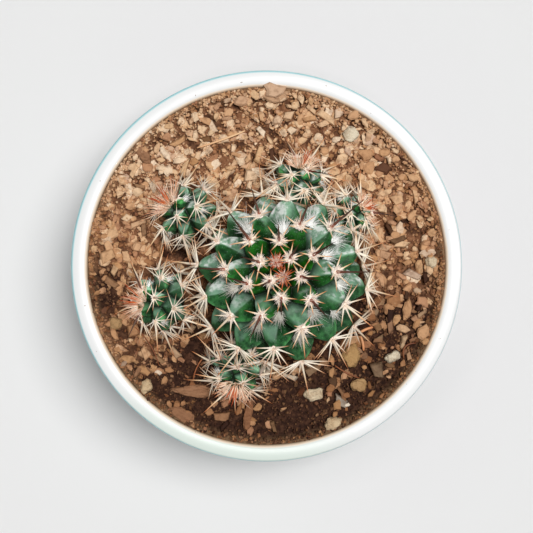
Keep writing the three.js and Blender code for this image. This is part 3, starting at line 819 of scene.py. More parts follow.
def makeBlocks():
    # each drawn place that is open gets a chip: outline * section, sized, tilted, turned and set down
    section, draw = np.array(blocks["section"]), drawFrom(blocks["seed"])
    rough = np.random.default_rng(seeds["chips"] + 50)
    edge = innerRadius(ground["top"]) - pot["clearance"] - blocks["fromWall"]
    made, index = [], 0
    while len(made) < blocks["count"]:
        far, way, long, broad, thick, lean, spin, lift = (next(draw) for _ in range(8))
        length = between(blocks["length"], long ** blocks["lengthPower"])
        out = (edge - length / 2) * far ** 0.5
        x, y = onCircle(out, tau * way)
        if isOpen(x, y, length / 2):
            side = section[:, :1] * blockOutline(index).T[:, None]
            shape = withPoles(joined(*side, section[:, 1:])[None])[0]
            rises = 0.5 + 0.5 * shape[:, 2]
            shape = shape + rough.normal(0, blocks["rough"], shape.shape)
            shape = shape * [1, between(blocks["breadth"], broad), between(blocks["thickness"], thick)]
            tilt = rotation(np.radians(blocks["tilt"] * (2 * lean - 1)), 0)
            shape = shape @ (rotation(tau * spin, 2) @ tilt).T * length / 2
            made.append(shape + [x, y, soilHeight(x, y) + between(blocks["lift"], lift)])
        index += 1
    points, count = np.stack(made), len(made)
    x, y = points[:, 0, 0], points[:, 0, 1]
    damp, hollow = moistAt(x, y), hollowAt(x, y)
    # painted shade in the hollows, in the tone and through the damp colour
    tone = rough.normal(blocks["tone"], blocks["uneven"], count) - blocks["hollowShade"] * hollow
    hue = rough.random(count)
    moist = damp * rough.uniform(*blocks["damp"], count) + blocks["hollowDarker"] * hollow
    addMany("soil_blocks", points, (len(section), blocks["corners"] * blocks["perSide"]), "chip",
            "soil", tone=np.clip(tone, 0, 1), hue=hue, moist=np.minimum(moist, 1), rise=np.tile(rises, count))


def addChips(name, kind, place, size, draw, dry):
    # flat chips of the given places and lengths, turned anyhow and leant a little
    count, x, y = len(place), place[:, 0], place[:, 1]
    damp, hollow = moistAt(x, y), hollowAt(x, y)
    shape = shardPoints(kind["grid"], count, draw)
    rise = np.clip(0.5 + shape[..., 2], 0, 1)
    wide, flat = draw.uniform(*kind["wide"], count), draw.uniform(*kind["flat"], count)
    shape = shape * (joined(np.ones(count), wide, flat) * size[:, None])[:, None]
    lean = np.abs(draw.normal(0, chipLooks["lean"], count))
    shape = tilted(shape, tau * draw.random(count), lean, tau * draw.random(count))
    tone = draw.normal(kind["tone"], kind["uneven"], count)
    # darker where it is damp, and painted shade in the hollows
    tone -= (chipLooks["dampShade"] + chipLooks["dryShade"] * dry) * damp + hollows["shade"] * hollow
    much, *span = chipLooks["upper"]
    tone += much * smoothStep(y, *span)
    much, *span = chipLooks["left"]
    tone += much * smoothStep(-x, *span) * smoothStep(y, *chipLooks["leftAbove"])
    soakedOrShaded = np.where(dry, chipLooks["dryDamp"] * damp, damp) * draw.uniform(*chipLooks["damp"], count)
    # painted shade in the pits, as dark as soaked chips
    soakedOrShaded += hollows["deepShade"] * np.maximum(hollow - hollows["deepShadeAbove"], 0)
    addMany("soil_" + name, shape + place[:, None], kind["grid"], "chip", "soil", smooth=False,
            rise=rise, tone=np.clip(tone, 0, kind["palest"]), hue=draw.random(count),
            moist=np.minimum(soakedOrShaded, 1))


def makeChips():
    # strewn evenly over the pot: distance from the axis = reach * root of a random share
    edge = innerRadius(ground["top"]) - pot["clearance"]
    for i, (name, kind) in enumerate(chips.items()):
        draw, count = np.random.default_rng(seeds["chips"] + i), kind["count"]
        size = between(kind["size"], draw.random(count) ** chipLooks["sizePower"])
        reach = (edge + chipLooks["over"] - kind["inset"] * size) * np.sqrt(draw.random(count))
        around = tau * draw.random(count)
        x, y = onCircle(reach, around)
        damp, hollow = moistAt(x, y), hollowAt(x, y)
        high = soilHeight(x, y) + draw.uniform(*kind["lift"], count)
        high += wallRise["high"] * smoothStep(reach, edge - wallRise["wide"], edge)
        high -= hollows["deep"] * hollow
        keep = np.hypot(x - mainPlace[0], y - mainPlace[1]) > chipLooks["underMain"]
        large = kind["gone"] > 0.5
        gone = np.maximum(kind["gone"] * damp, chipLooks["goneInHollow"] * hollow * large)
        keep &= draw.random(count) > gone
        dry = draw.random(count) < chipLooks["dryLarge" if large else "drySmall"]
        size = size * (1 - chipLooks["shrunk"] * damp * ~dry)
        addChips(name, kind, joined(x, y, high)[keep], size[keep], draw, dry[keep])
    # and a ring of crumbs along the wall
    draw, count = np.random.default_rng(seeds["chips"] + 20), wallCrumbs["count"]
    around = tau * draw.random(count)
    reach = edge - wallCrumbs["band"] * draw.random(count) ** wallCrumbs["bandPower"] + wallCrumbs["over"]
    x, y = onCircle(reach, around)
    high = soilHeight(x, y) + wallRise["high"] + draw.uniform(*wallCrumbs["lift"], count)
    size = draw.uniform(*wallCrumbs["size"], count)
    dry = draw.random(count) < wallCrumbs["dry"]
    addChips("wall_crumbs", chips["gritB"], joined(x, y, high), size, draw, dry)


laid = {"grid": (4, 9), "larger": 1.12, "thickness": 0.3, "lean": 0.12, "lift": 0.55, "damp": 0.1}


def makeLaidChips():
    # the chips that lie uppermost, each at its own place
    x, y, length, width, turn, tone, hue = np.array(laidChips).T
    draw, count = np.random.default_rng(seeds["chips"] + 30), len(laidChips)
    shape = shardPoints(laid["grid"], count, draw)
    rise = np.clip(0.5 + shape[..., 2], 0, 1)
    thick = laid["thickness"] * np.sqrt(length * width)
    shape = shape * joined(laid["larger"] * length, laid["larger"] * width, thick)[:, None]
    lean = np.abs(draw.normal(0, laid["lean"], count))
    shape = tilted(shape, np.radians(turn), lean, tau * draw.random(count))
    edge = innerRadius(ground["top"])
    heaped = wallRise["high"] * smoothStep(np.hypot(x, y), edge - wallRise["wide"], edge)
    place = joined(x, y, soilHeight(x, y) + laid["lift"] + heaped)
    addMany("soil_laid", shape + place[:, None], laid["grid"], "chip", "soil", smooth=False,
            rise=rise, tone=tone, hue=hue, moist=laid["damp"] * moistAt(x, y))


# x, y, length and width in mm, turn in degrees, tone, hue.
laidChips = [
    (43.2, -13.8, 7.0, 3.4, 82, 0.56, 0.20), (40.0, -16.6, 3.7, 2.8, 60, 0.60, 0.05),
    (39.3, -10.8, 5.5, 4.6, 80, 0.42, 0.40), (47.9, -11.1, 4.6, 3.7, 160, 0.60, 0.95),
    (48.1, -20.4, 5.2, 4.3, 110, 0.60, 0.30), (46.0, -17.8, 3.4, 2.5, 60, 0.50, 0.10),
    (48.6, -23.1, 3.1, 1.8, 40, 0.55, 0.00), (42.3, -22.4, 2.1, 1.8, 0, 0.52, 0.00),
    (41.8, -29.8, 2.5, 1.8, 70, 0.45, 0.20), (20.1, -28.7, 4.0, 1.8, 100, 0.50, 0.10),
    (20.0, -32.6, 3.7, 2.1, 80, 0.48, 0.10), (30.0, -31.1, 1.8, 1.5, 0, 0.50, 0.10),
    (30.0, -35.6, 1.5, 1.5, 0, 0.50, 0.10), (36.5, -32.6, 2.8, 1.5, 30, 0.60, 0.50),
    (21.9, -42.7, 4.3, 2.8, 85, 0.45, 0.00), (21.0, -45.5, 2.5, 1.5, 60, 0.45, 0.10),
    (24.9, -42.6, 1.8, 1.2, 0, 1.00, 0.50), (19.8, -37.5, 3.1, 2.5, 20, 0.38, 0.30),
    (24.5, -39.6, 2.5, 2.1, 0, 0.35, 0.60), (31.9, -39.3, 3.4, 1.5, 40, 0.35, 0.00),
    (-42.2, -28.4, 5.2, 3.1, -15, 0.55, 0.05), (-38.0, -31.9, 4.9, 2.8, -20, 0.50, 0.10),
    (-33.1, -32.6, 2.8, 1.8, -20, 0.95, 0.70), (-45.7, -25.6, 2.5, 2.1, 0, 0.50, 0.20),
    (-31.3, -35.1, 3.1, 2.5, 30, 0.50, 0.20), (-29.9, -31.9, 2.8, 2.1, 0, 0.45, 0.40),
    (-23.9, -45.3, 2.8, 2.5, 0, 0.42, 0.40), (-17.6, -44.9, 2.8, 2.5, 70, 0.45, 0.40),
    (-13.0, -40.0, 4.0, 2.8, 20, 0.50, 0.70), (-4.7, -48.2, 3.1, 1.8, 0, 0.50, 0.30),
    (-2.6, -43.3, 3.1, 2.5, 30, 0.52, 0.00), (-8.4, -44.0, 3.7, 1.5, 70, 0.35, 0.40),
    (2.2, 53.9, 7.8, 4.6, -8, 0.84, 0.90), (-41.5, 30.4, 2.8, 2.1, 50, 0.75, 0.40),
    (-32.5, 32.6, 2.8, 1.8, -20, 0.75, 0.10), (-32.2, 30.2, 3.7, 1.8, 0, 0.85, 0.50),
    (-33.6, 35.9, 4.6, 2.5, 75, 0.72, 0.30), (-29.8, 42.7, 4.0, 1.8, 10, 0.72, 0.00),
    (-30.6, 39.7, 3.4, 3.1, 0, 0.60, 0.90), (-22.7, 38.9, 4.3, 1.2, -15, 0.72, 0.20),
    (-33.9, 26.6, 3.4, 1.8, 10, 0.50, 1.00), (-37.2, 35.6, 2.5, 2.5, 0, 0.60, 0.40),
    (26.6, 46.0, 4.3, 2.8, 20, 0.62, 0.70), (30.1, 43.8, 3.4, 1.8, -60, 0.75, 0.40),
    (33.5, 38.3, 2.1, 1.8, -30, 0.66, 0.90), (36.2, 34.8, 4.3, 2.8, 20, 0.58, 0.20),
    (39.5, 32.9, 2.8, 2.5, 30, 0.62, 0.40), (44.9, 27.1, 5.2, 2.5, -18, 0.64, 0.40),
    (41.7, 27.4, 2.8, 2.5, 60, 0.60, 0.30), (29.9, 25.0, 4.0, 2.5, -35, 0.66, 0.20),
    (30.7, 34.2, 6.7, 4.6, -20, 0.56, 0.50), (31.6, 29.9, 4.9, 3.7, 60, 0.56, 0.30),
    (34.6, 28.8, 3.4, 2.8, 30, 0.60, 0.80), (-47.6, 9.7, 6.1, 3.4, 35, 0.68, 0.20),
    (-49.8, 1.1, 3.7, 2.8, 10, 0.74, 0.30), (50.1, -0.8, 4.0, 2.1, 80, 0.74, 0.40),
    (-18.8, 44.6, 4.3, 2.5, -30, 0.60, 0.30), (-11.8, 47.0, 3.7, 2.5, 40, 0.64, 0.60),
    (10.3, 44.6, 4.0, 2.5, 70, 0.62, 0.30), (17.9, 35.4, 3.7, 2.8, 20, 0.60, 0.40),
    (44.6, 15.5, 4.0, 2.5, 50, 0.62, 0.30), (39.4, 9.3, 4.3, 2.8, -40, 0.58, 0.40),
    (48.6, 6.3, 3.7, 2.5, 70, 0.60, 0.60), (43.3, 1.1, 3.4, 2.1, 10, 0.56, 0.20),
    (-41.8, 18.5, 4.3, 2.8, 20, 0.62, 0.30), (-45.5, -6.0, 4.0, 2.5, 60, 0.56, 0.40),
]


# Middle x and y, length, width and thickness in mm, turn in degrees, tone, hue, roundness.
stones = {
    "stone_white": (38.8, -27.9, 4.4, 3.4, 3.2, 25, 1.0, 0.2, 1.0),
    "stone_pale": (14.5, -39.4, 5.4, 4.2, 3.0, 20, 0.8, 0.1, 0.6),
    "stone_tan_large": (26.2, -27.4, 6.6, 5.6, 3.4, 70, 0.4, 0.0, 0.55),
    "stone_tan": (28.4, -36.6, 4.8, 4.2, 3.0, 10, 0.35, 0.1, 0.55),
    "stone_tan_low": (20.4, -48.2, 5.6, 3.6, 2.8, 30, 0.7, 0.0, 0.5),
    "stone_left": (-36.9, -37.0, 4.4, 3.6, 3.0, 50, 0.65, 0.1, 0.5),
    "stone_far_left": (-46.4, -17.6, 4.2, 4.0, 3.2, 0, 0.3, 0.1, 0.9),
    "stone_grey": (25.8, 40.4, 5.4, 4.2, 3.2, 105, 1.0, 0.2, 0.6),
    "stone_right": (50.6, 1.2, 3.8, 3.4, 2.8, 0, 0.8, 0.2, 0.6),
}
barks = {
    "bark_rim": (2.4, 52.2, 7.6, 4.4, 1.8, 5, 1.0, 0.0, 0.2),
    "bark_lower_left": (-22.0, -38.4, 13.0, 3.4, 2.0, -6, 0.6, 0.0, 0.2),
    "bark_curled": (-26.0, -45.4, 7.4, 4.0, 2.0, -35, 0.55, 0.0, 0.2),
    "bark_upright": (-5.6, -45.6, 9.0, 2.6, 2.0, 84, 0.5, 0.0, 0.2),
    "bark_upper_left": (-38.0, 34.5, 6.4, 3.6, 1.8, 130, 0.6, 0.0, 0.2),
}
lumps = {"swing": 0.3, "jitter": 0.012, "relief": ((0.09, 0.5), (0.036, 0.16)), "lift": 0.5,
         "stoneGrid": (20, 28), "barkGrid": (28, 48)}


def makeLump(name, lump, finish, seed):
    # a squared sphere with two lengths of relief, sized, turned and laid on the soil
    x, y, length, width, thickness, turn, tone, hue, roundness = lump
    grid = lumps[finish + "Grid"]
    power = 0.4 + 0.5 * roundness
    points = lumpPoints(grid, np.random.default_rng(seed), power, lumps["swing"], lumps["jitter"])
    points *= 1 + sum(high * waves(points, size, seed + i)[:, None]
                      for i, (high, size) in enumerate(lumps["relief"]))
    points = points * [length, width, thickness] @ rotation(np.radians(turn), 2).T
    addPiece(name + "_fine", points + [x, y, soilHeight(x, y) + lumps["lift"]], shellFaces(*grid),
             finish, finish, [name], tone=np.full(len(points), tone), hue=np.full(len(points), hue))


def isOpen(x, y, room):
    # not on the pieces that lie on the soil, and not under the plants
    taken = [(lump[0], lump[1], lump[2] / 2) for lump in (*stones.values(), *barks.values())]
    taken += [(*stem["place"][:2], stem["tip"]) for stem in stems.values()]
    return all(np.hypot(px - x, py - y) > reach + room for px, py, reach in taken)


for i, (name, stone) in enumerate(stones.items()):
    makeLump(name, stone, "stone", 40 + i)
for i, (name, bark) in enumerate(barks.items()):
    makeLump(name, bark, "bark", 60 + i)
print("stones and bark made")


# Loose straws and fibres: x and y of both ends in mm, bow sideways, radius, tint from cream to
# brown, how dark.
straws = [
    (-6.6, 41.5, -21.3, 36.3, 0.3, 0.32, 0.6, 0.12), (21.0, -30.5, 28.6, -34.4, -0.4, 0.24, 0.9, 0.6),
    (28.3, -20.7, 32.6, -18.8, 0.3, 0.42, 0.75, 0.1), (28.9, -21.6, 29.8, -25.9, 0.2, 0.42, 0.75, 0.1),
    (42.1, -28.3, 45.8, -23.6, 1.9, 0.3, 0.9, 0.7), (-40.6, -18.6, -33.0, -30.6, 1.2, 0.2, 0.9, 0.6),
    (-18.4, -27.0, -22.6, -35.4, -0.8, 0.2, 0.9, 0.4), (38.5, 34.8, 45.2, 30.0, 0.4, 0.22, 0.9, 0.85),
    (15.8, 44.5, 18.2, 37.2, 0.3, 0.2, 0.9, 0.8),
]
strawShape = {"rows": 12, "sides": 8, "lift": 0.9, "arch": 0.5, "endThickness": 0.35, "fade": 0.1}


def makeStraws():
    # a round section carried along an arc: straight line + bow * 4 t (1 - t) sideways
    rows, sides = strawShape["rows"], strawShape["sides"]
    t = np.linspace(0, 1, rows)[None]
    table = np.array(straws)
    start, run = table[:, None, :2], (table[:, 2:4] - table[:, :2])[:, None]
    bow, radius, tint = (table[:, i, None] for i in (4, 5, 6))
    across = unit(run[..., ::-1] * [-1, 1])
    flat = start + run * t[..., None] + across * (4 * bow * t * (1 - t))[..., None]
    arch = strawShape["arch"] * np.sin(np.pi * t)
    high = soilHeight(flat[..., 0], flat[..., 1]) + strawShape["lift"] + arch
    full = np.sin(np.pi * (0.08 + 0.84 * t)) ** 0.5
    thick = radius * (strawShape["endThickness"] + (1 - strawShape["endThickness"]) * full)
    points = sweep(np.concatenate([flat, high[..., None]], -1), thick, sides)
    none = np.zeros(len(table))
    addMany("soil_straws", points, (rows, sides), "spine", "soil", fresh=none, pale=none,
            along=perPoint(tint + strawShape["fade"] * (t - 0.5), sides), dark=table[:, 7])


# The same named values as the solids. Degrees from the tip = linear * n + root * sqrt(n).
pairTurn = -68.384
mainSpiral = {"linear": 6.705, "root": -9.61, "first": 3.466}
offsetSpiral = {"linear": 8.5, "root": 14.0, "first": 1.0}


def offset(place, lean, heading, turn, tip, fan, length, dense=0.92, years=25.0, axils=(0, 3, 4, 7), dusk=0.0,
           gleam=1.0):
    # a small stem: the same named values as the main one, most of them in proportion to its radius
    scale = tip / 9.2
    return {
        "place": place, "lean": lean, "heading": heading, "turn": turn, "tip": tip,
        "tipHigh": tip * 0.98, "tipLow": tip * 0.98, "core": tip * 0.66, "coreHigh": tip * 0.68,
        "coreLow": tip * 0.66, "spiral": offsetSpiral, "pairs": 9, "neckRadius": 3.2 * scale,
        "grid": (110, 200), "padRadius": 0.7 * scale, "scale": 0.62 * scale, "ageShift": years,
        "newborn": 0, "tuft": {"count": 110, "length": length, "heading": fan, "rise": 26.0, "bold": 8},
        "dense": dense, "spineRadius": 0.19, "spineLength": 0.77, "dusk": dusk, "gleam": gleam,
        "axils": axils, "wool": (), "centrals": {},
    }


stems = {
    "stem_main": {
        # middle in mm above the soil's level; degrees; radii of the tubercles' tips and of the creases
        "place": (*mainPlace, 13.1), "lean": 7.7, "heading": 105.0, "turn": 117.3, "tip": 25.9,
        "tipHigh": 22.5, "tipLow": 16.0, "core": 18.2, "coreHigh": 16.6, "coreLow": 12.5,
        "spiral": mainSpiral, "pairs": 21, "neckRadius": 12.0, "grid": (236, 400),
        "padRadius": 1.2, "scale": 1.0, "ageShift": 0.0,
        "newborn": 1, "tuft": {"count": 0}, "dense": 1.0, "spineRadius": 0.31, "spineLength": 1.0,
        "dusk": 0.0, "gleam": 1.0, "axils": (),
        # white hair in the creases: degrees from the tip, degrees round it, size
        "wool": ((43.5, 127, 1.35), (31.5, 87, 1.1), (46.5, 60, 1.25), (77.0, 43, 0.9), (53.5, 32, 1.2),
                 (37.0, 20, 0.95), (49.5, 349, 0.95), (36.5, 200, 0.95), (33.5, 268, 0.8), (39.5, 308, 1.05),
                 (45.5, 245, 1.05), (55.5, 286, 1.0), (56.5, 324, 0.9), (66.0, 150, 0.6), (64.0, 215, 0.6)),
        # middle spines, by tubercle: heading in degrees, length seen from above in mm
        "centrals": {2: (58, 4.4), 3: (-151, 3.0), 4: (-13, 5.3), 5: (164, 5.1), 6: (-90, 4.9), 7: (93, 4.9),
                     8: (160, 5.9), 9: (31, 6.8), 10: (127, 10.6), 11: (-47, 6.8), 12: (68, 10.0),
                     13: (-116, 7.4), 14: (0, 10.7), 15: (177, 9.9), 16: (-84, 8.2), 17: (107, 7.9),
                     18: (-135, 7.0), 19: (40, 11.7), 20: (150, 7.0), 22: (93, 5.2), 25: (-150, 7.0),
                     27: (136, 8.0)},
    },
    # gleam scales a stem's painted sheen, weaker on the left and lower offsets, which lie in shade; dusk is
    # painted shade on the lower offset's spines, and its greater years dull its skin, partly as painted shade
    "offset_upper_left": offset((-23.9, 15.9, 7.6), 46.0, 155.0, 20.0, 9.6, 143.0, 8.0),
    "offset_left": offset((-31.0, -10.3, 7.7), 50.0, 182.0, 80.0, 9.5, 160.0, 7.0, gleam=0.6),
    "offset_lower": offset((-8.6, -30.6, 7.1), 46.0, 262.0, 40.0, 8.8, 254.0, 6.4, 1.0, 48.0, (3,), 0.2, 0.5),
    "offset_upper": offset((9.6, 24.9, 7.3), 46.0, 80.0, 120.0, 8.6, 79.0, 5.6, 1.2, gleam=1.3),
    "offset_right": offset((25.2, 15.4, 5.7), 50.0, 25.0, 160.0, 7.2, 20.0, 4.8, 1.15, gleam=1.3),
}


makeSoil()
makeBlocks()
makeChips()
makeLaidChips()
makeStraws()
print("chips made")


def stemFrame(stem):
    # middle of the body, its axis, and the shortest turn that brings +Z to that axis
    axis = direction(np.radians(stem["lean"]), np.radians(stem["heading"]))
    v = np.cross([0, 0, 1], axis)
    skew = np.array([[0, -v[2], v[1]], [v[2], 0, -v[0]], [-v[1], v[0], 0]])
    turn = np.eye(3) + skew + skew @ skew / (1 + axis[2])
    middle = np.array(stem["place"]) + [0, 0, ground["top"]]
    return middle, axis, turn


tubercle = {
    # how sharply neighbours meet, and about how many corners are rounded off
    "sharp": 24.0, "corners": 5.0,
    # bulge * (1 - (1 - share) ** power) - crease, with fine waves on it
    "bulge": 1.14, "power": 1.16, "crease": 0.14, "fine": 0.01, "fineSize": 0.12,
    # the stem's tip is sunk by this share of its radius, within these degrees
    "dip": 0.1, "dipReach": 13,
    # the bare underside is closed by rings: degrees to the first one, between them, and to the last;
    # how many would go round the widest one
    "underFirst": 20, "underStep": 28, "underLast": 160, "underCount": 10,
    # degrees past its tip over which a tubercle turns to its outer side
    "outer": (-2.0, 4.0), "facetDraw": (12.9898, 78.233, 437.5453), "oldest": 120,
    # where the areole sits: share of the way from the stem's tip, share of the height
    "areoleAt": 0.965, "areoleHigh": 0.97,
}


def surfacePoint(stem, polar, azimuth, raised):
    # a flattened ball; raised 0 is the crease between tubercles, 1 is their tips
    middle, _, turn = stemFrame(stem)
    wide = between((stem["core"], stem["tip"]), raised)
    tall = np.where(polar > np.pi / 2, between((stem["coreLow"], stem["tipLow"]), raised),
                    between((stem["coreHigh"], stem["tipHigh"]), raised))
    local = direction(polar, azimuth) * joined(wide, wide, tall)
    near = np.exp(-((polar / np.radians(tubercle["dipReach"])) ** 2))
    local[..., 2] -= tubercle["dip"] * stem["tip"] * near * raised
    return local @ turn.T + middle


def tuberclesOf(stem):
    # opposite pairs, each turned by half the golden angle, farther from the tip each time
    spiral = stem["spiral"]
    pair = np.repeat(np.arange(stem["pairs"]), 2)
    n = pair + spiral["first"]
    polar = np.radians(spiral["linear"] * n + spiral["root"] * np.sqrt(n))
    azimuth = np.radians(stem["turn"] + pairTurn * pair + 180 * (np.arange(len(pair)) % 2))
    return polar, azimuth


def undersideOf(lowest):
    # directions that close the underside, where no tubercle grows
    polar, azimuth, ring = [], [], 0
    level = lowest + np.radians(tubercle["underFirst"])
    while level < np.radians(tubercle["underLast"]):
        count = max(3, round(tubercle["underCount"] * np.sin(level)))
        polar += [level] * count
        azimuth += [tau * (i + 0.5 * (ring % 2)) / count for i in range(count)]
        level, ring = level + np.radians(tubercle["underStep"]), ring + 1
    return np.array(polar + [np.pi]), np.array(azimuth + [0.0])


def tubercleShare(stem, u):
    # 0 on the crease round a tubercle, 1 at its tip: the least of the shares measured towards each
    # neighbour, (u.own - u.next) / (1 - own.next), with the corners between them rounded; then
    # whose tubercle it is, and which neighbour it faces
    polar, azimuth = tuberclesOf(stem)
    centres = np.concatenate([direction(polar, azimuth), direction(*undersideOf(polar[-1]))])
    dots = u @ centres.T
    own, each = dots.argmax(1), np.arange(len(u))
    apart = 1 - (centres @ centres.T)[own]
    apart[each, own] = 1.0
    share = (dots[each, own][:, None] - dots) / apart
    share[each, own] = 9.0  # far from itself
    facing, sharp = share.argmin(1), tubercle["sharp"]
    least = -np.log(np.exp(-sharp * np.minimum(share, 9.0)).sum(1)) / sharp
    least = np.clip(least / (1 - np.log(tubercle["corners"]) / sharp), 0, 1)
    return np.where(own < len(polar), least, 0.0), own, facing


# A painted reflection of a window: palest on facets that face it, weaker towards the lower rim.
windowReflection = {"window": (-0.25, 0.8, 0.5), "facing": (0.28, 0.8), "least": 0.55, "more": 0.6, "upper": (-0.7, 0.3)}
neck = {"high": (-10, -4, -1, 1, 3), "topShare": 0.5, "wide": (0.9, 0.95, 1.0, 1.0, 0.95, 0.8),
        "sides": 40, "tone": 0.15}


def makeBody(name, stem):
    # a grid of polar angle and azimuth on the flattened ball, raised into tubercles
    rows, cols = stem["grid"]
    level = np.radians(np.linspace(0.6, 178.5, rows))
    polar = np.concatenate([[0.0], np.repeat(level, cols), [np.pi]])
    azimuth = np.concatenate([[0.0], np.tile(tau * np.arange(cols) / cols, rows), [0.0]])
    u = direction(polar, azimuth)
    share, own, facing = tubercleShare(stem, u)
    raised = tubercle["bulge"] * (1 - (1 - share) ** tubercle["power"]) - tubercle["crease"] * (share > 0)
    raised += tubercle["fine"] * waves(u, tubercle["fineSize"], 17) * share
    points = surfacePoint(stem, polar, azimuth, raised)
    tips = tuberclesOf(stem)[0]
    past = np.degrees(polar - tips[np.minimum(own, len(tips) - 1)])
    # facet: random painted light and shade for each facet
    first, second, spread = tubercle["facetDraw"]
    facet = np.modf(np.abs(np.sin(own * first + facing * second)) * spread)[0]
    ring = points[1:-1].reshape(rows, cols, 3)
    # painted reflection of a window: how squarely each point faces it, less towards the lower rim, times the
    # stem's gleam
    normal = np.cross(np.gradient(ring, axis=0), np.roll(ring, -1, axis=1) - np.roll(ring, 1, axis=1))
    glow = smoothStep(unit(normal) @ unit(np.array(windowReflection["window"])), *windowReflection["facing"])
    upper = smoothStep((ring[..., 1] - stem["place"][1]) / stem["tip"], *windowReflection["upper"])
    glow = np.minimum((glow * (windowReflection["least"] + windowReflection["more"] * upper)).ravel() * stem["gleam"], 1.0)
    addPiece(name + "_body", points, shellFaces(rows, cols), "skin", "cactus", [name],
             ridge=share, age=np.clip((np.degrees(polar) + stem["ageShift"]) / tubercle["oldest"], 0, 1),
             outer=smoothStep(past, *tubercle["outer"]), facet=facet,
             sheen=np.concatenate([glow[:1], glow, glow[-1:]]))
    x, y, z = stem["place"]
    high = np.array([*neck["high"], neck["topShare"] * z]) + ground["top"]
    path = joined(np.full(len(high), x), np.full(len(high), y), high)[None]
    ring = sweep(path, stem["neckRadius"] * np.array(neck["wide"])[None], neck["sides"])
    addMany(name + "_neck", ring, (len(high), neck["sides"]), "bark", "bark",
            tone=np.array([neck["tone"]]))


def wayDown(stem, out):
    # square to out: the way down from the stem's tip, and across it
    down = out - stemFrame(stem)[1]
    down = unit(down - (down * out).sum(-1, keepdims=True) * out)
    return down, np.cross(down, out)


def areolesOf(stem):
    # tip of each tubercle, the way it points, the way down from the stem's tip, across, and its age
    polar, azimuth = tuberclesOf(stem)
    raised = np.full_like(polar, tubercle["areoleHigh"])
    tip = surfacePoint(stem, tubercle["areoleAt"] * polar, azimuth, raised)
    out = unit(tip - surfacePoint(stem, polar, azimuth, np.zeros_like(polar)))
    return tip, out, *wayDown(stem, out), np.degrees(polar) + stem["ageShift"]


def circled(angle, one, two):
    # one turned towards two by an angle: cos(angle) * one + sin(angle) * two
    return np.cos(angle)[..., None] * one + np.sin(angle)[..., None] * two


def curved(root, aim, bend, length, rows):
    # thin paths: root + length * (aim * t + bend * t * t)
    t = np.linspace(0, 1, rows)[None, :, None]
    return root[:, None] + length[:, None, None] * (aim[:, None] * t + bend[:, None] * t * t)


felt = {
    "rows": 5, "cols": 16, "ragged": 0.16, "old": (35, 75), "tint": 0.1, "oldTint": 0.4, "newTint": 0.8,
    # shares of the pad's radius: radius and height of the dome, and how much less when old
    "radius": 1.14, "radiusLoss": 0.45, "height": 0.6, "heightLoss": 0.2,
    # fibres: how many when young and how many fewer when old, how far out on the dome they stand,
    # length as a share of the radius, thickness in mm
    "fibres": 103.5, "fewer": 63, "reach": 0.8, "length": (0.6, 1.5), "thick": 0.09, "thicker": 0.05,
    "upright": (0.95, 0.6), "wander": 0.25, "fibreTint": (0, 0.5), "newFibreTint": (0.1, 0.7), "taper": 0.75,
}


def makeFelt(name, stem, draw):
    # a low dome on each tubercle's tip, its rim ragged, then short fibres standing out of it
    tip, out, down, across, age = areolesOf(stem)
    old = smoothStep(age, *felt["old"])
    radius = felt["radius"] * stem["padRadius"] * (1 - felt["radiusLoss"] * old)
    height = radius * (felt["height"] - felt["heightLoss"] * old)
    rows, cols = felt["rows"], felt["cols"]
    polar = (np.pi * (np.arange(rows) + 1) / (rows + 1))[None, :, None]
    around = tau * np.arange(cols) / cols
    rim = 1 + felt["ragged"] * draw.normal(size=(len(tip), 1, cols))
    flat = (np.sin(polar) * rim * radius[:, None, None])[..., None]
    high = (np.cos(polar) * height[:, None, None])[..., None]
    side = circled(around, down[:, None, None], across[:, None, None])
    ring = flat * side + high * out[:, None, None] + tip[:, None, None]
    top = (height[:, None] * out)[:, None]
    domes = np.concatenate([tip[:, None] + top, ring.reshape(len(tip), -1, 3), tip[:, None] - top], 1)
    isNew = np.arange(len(tip)) < 2 * stem["newborn"]
    addMany(name + "_felt", domes, (rows, cols), "felt", "cactus",
            tint=np.where(isNew, felt["newTint"], felt["tint"] + felt["oldTint"] * old))
    owner = np.repeat(np.arange(len(tip)), (felt["fibres"] - felt["fewer"] * old).astype(int))
    n = len(owner)
    reach, turn = np.sqrt(draw.random(n)), tau * draw.random(n)
    side = circled(turn, down[owner], across[owner])
    within = felt["reach"] * reach
    start = tip[owner] + side * (within * radius[owner])[:, None]
    start += out[owner] * (felt["reach"] * np.sqrt(np.maximum(1 - within ** 2, 0)) * height[owner])[:, None]
    most, less = felt["upright"]
    aim = unit(out[owner] * (most - less * reach)[:, None] + side * reach[:, None]
               + draw.normal(0, felt["wander"], (n, 3)))
    length = radius[owner] * draw.uniform(*felt["length"], n)
    t = np.linspace(0, 1, 3)
    thick = (felt["thick"] + felt["thicker"] * draw.random(n))[:, None] * (1 - felt["taper"] * t)
    fibres = sweep(curved(start, aim, 0 * aim, length, 3), thick * (0.75 + 0.25 * stem["scale"]), 3)
    tint = draw.uniform(*felt["fibreTint"], n) + isNew[owner] * draw.uniform(*felt["newFibreTint"], n)
    addMany(name + "_fuzz", fibres, (3, 3), "felt", "cactus", tint=tint)


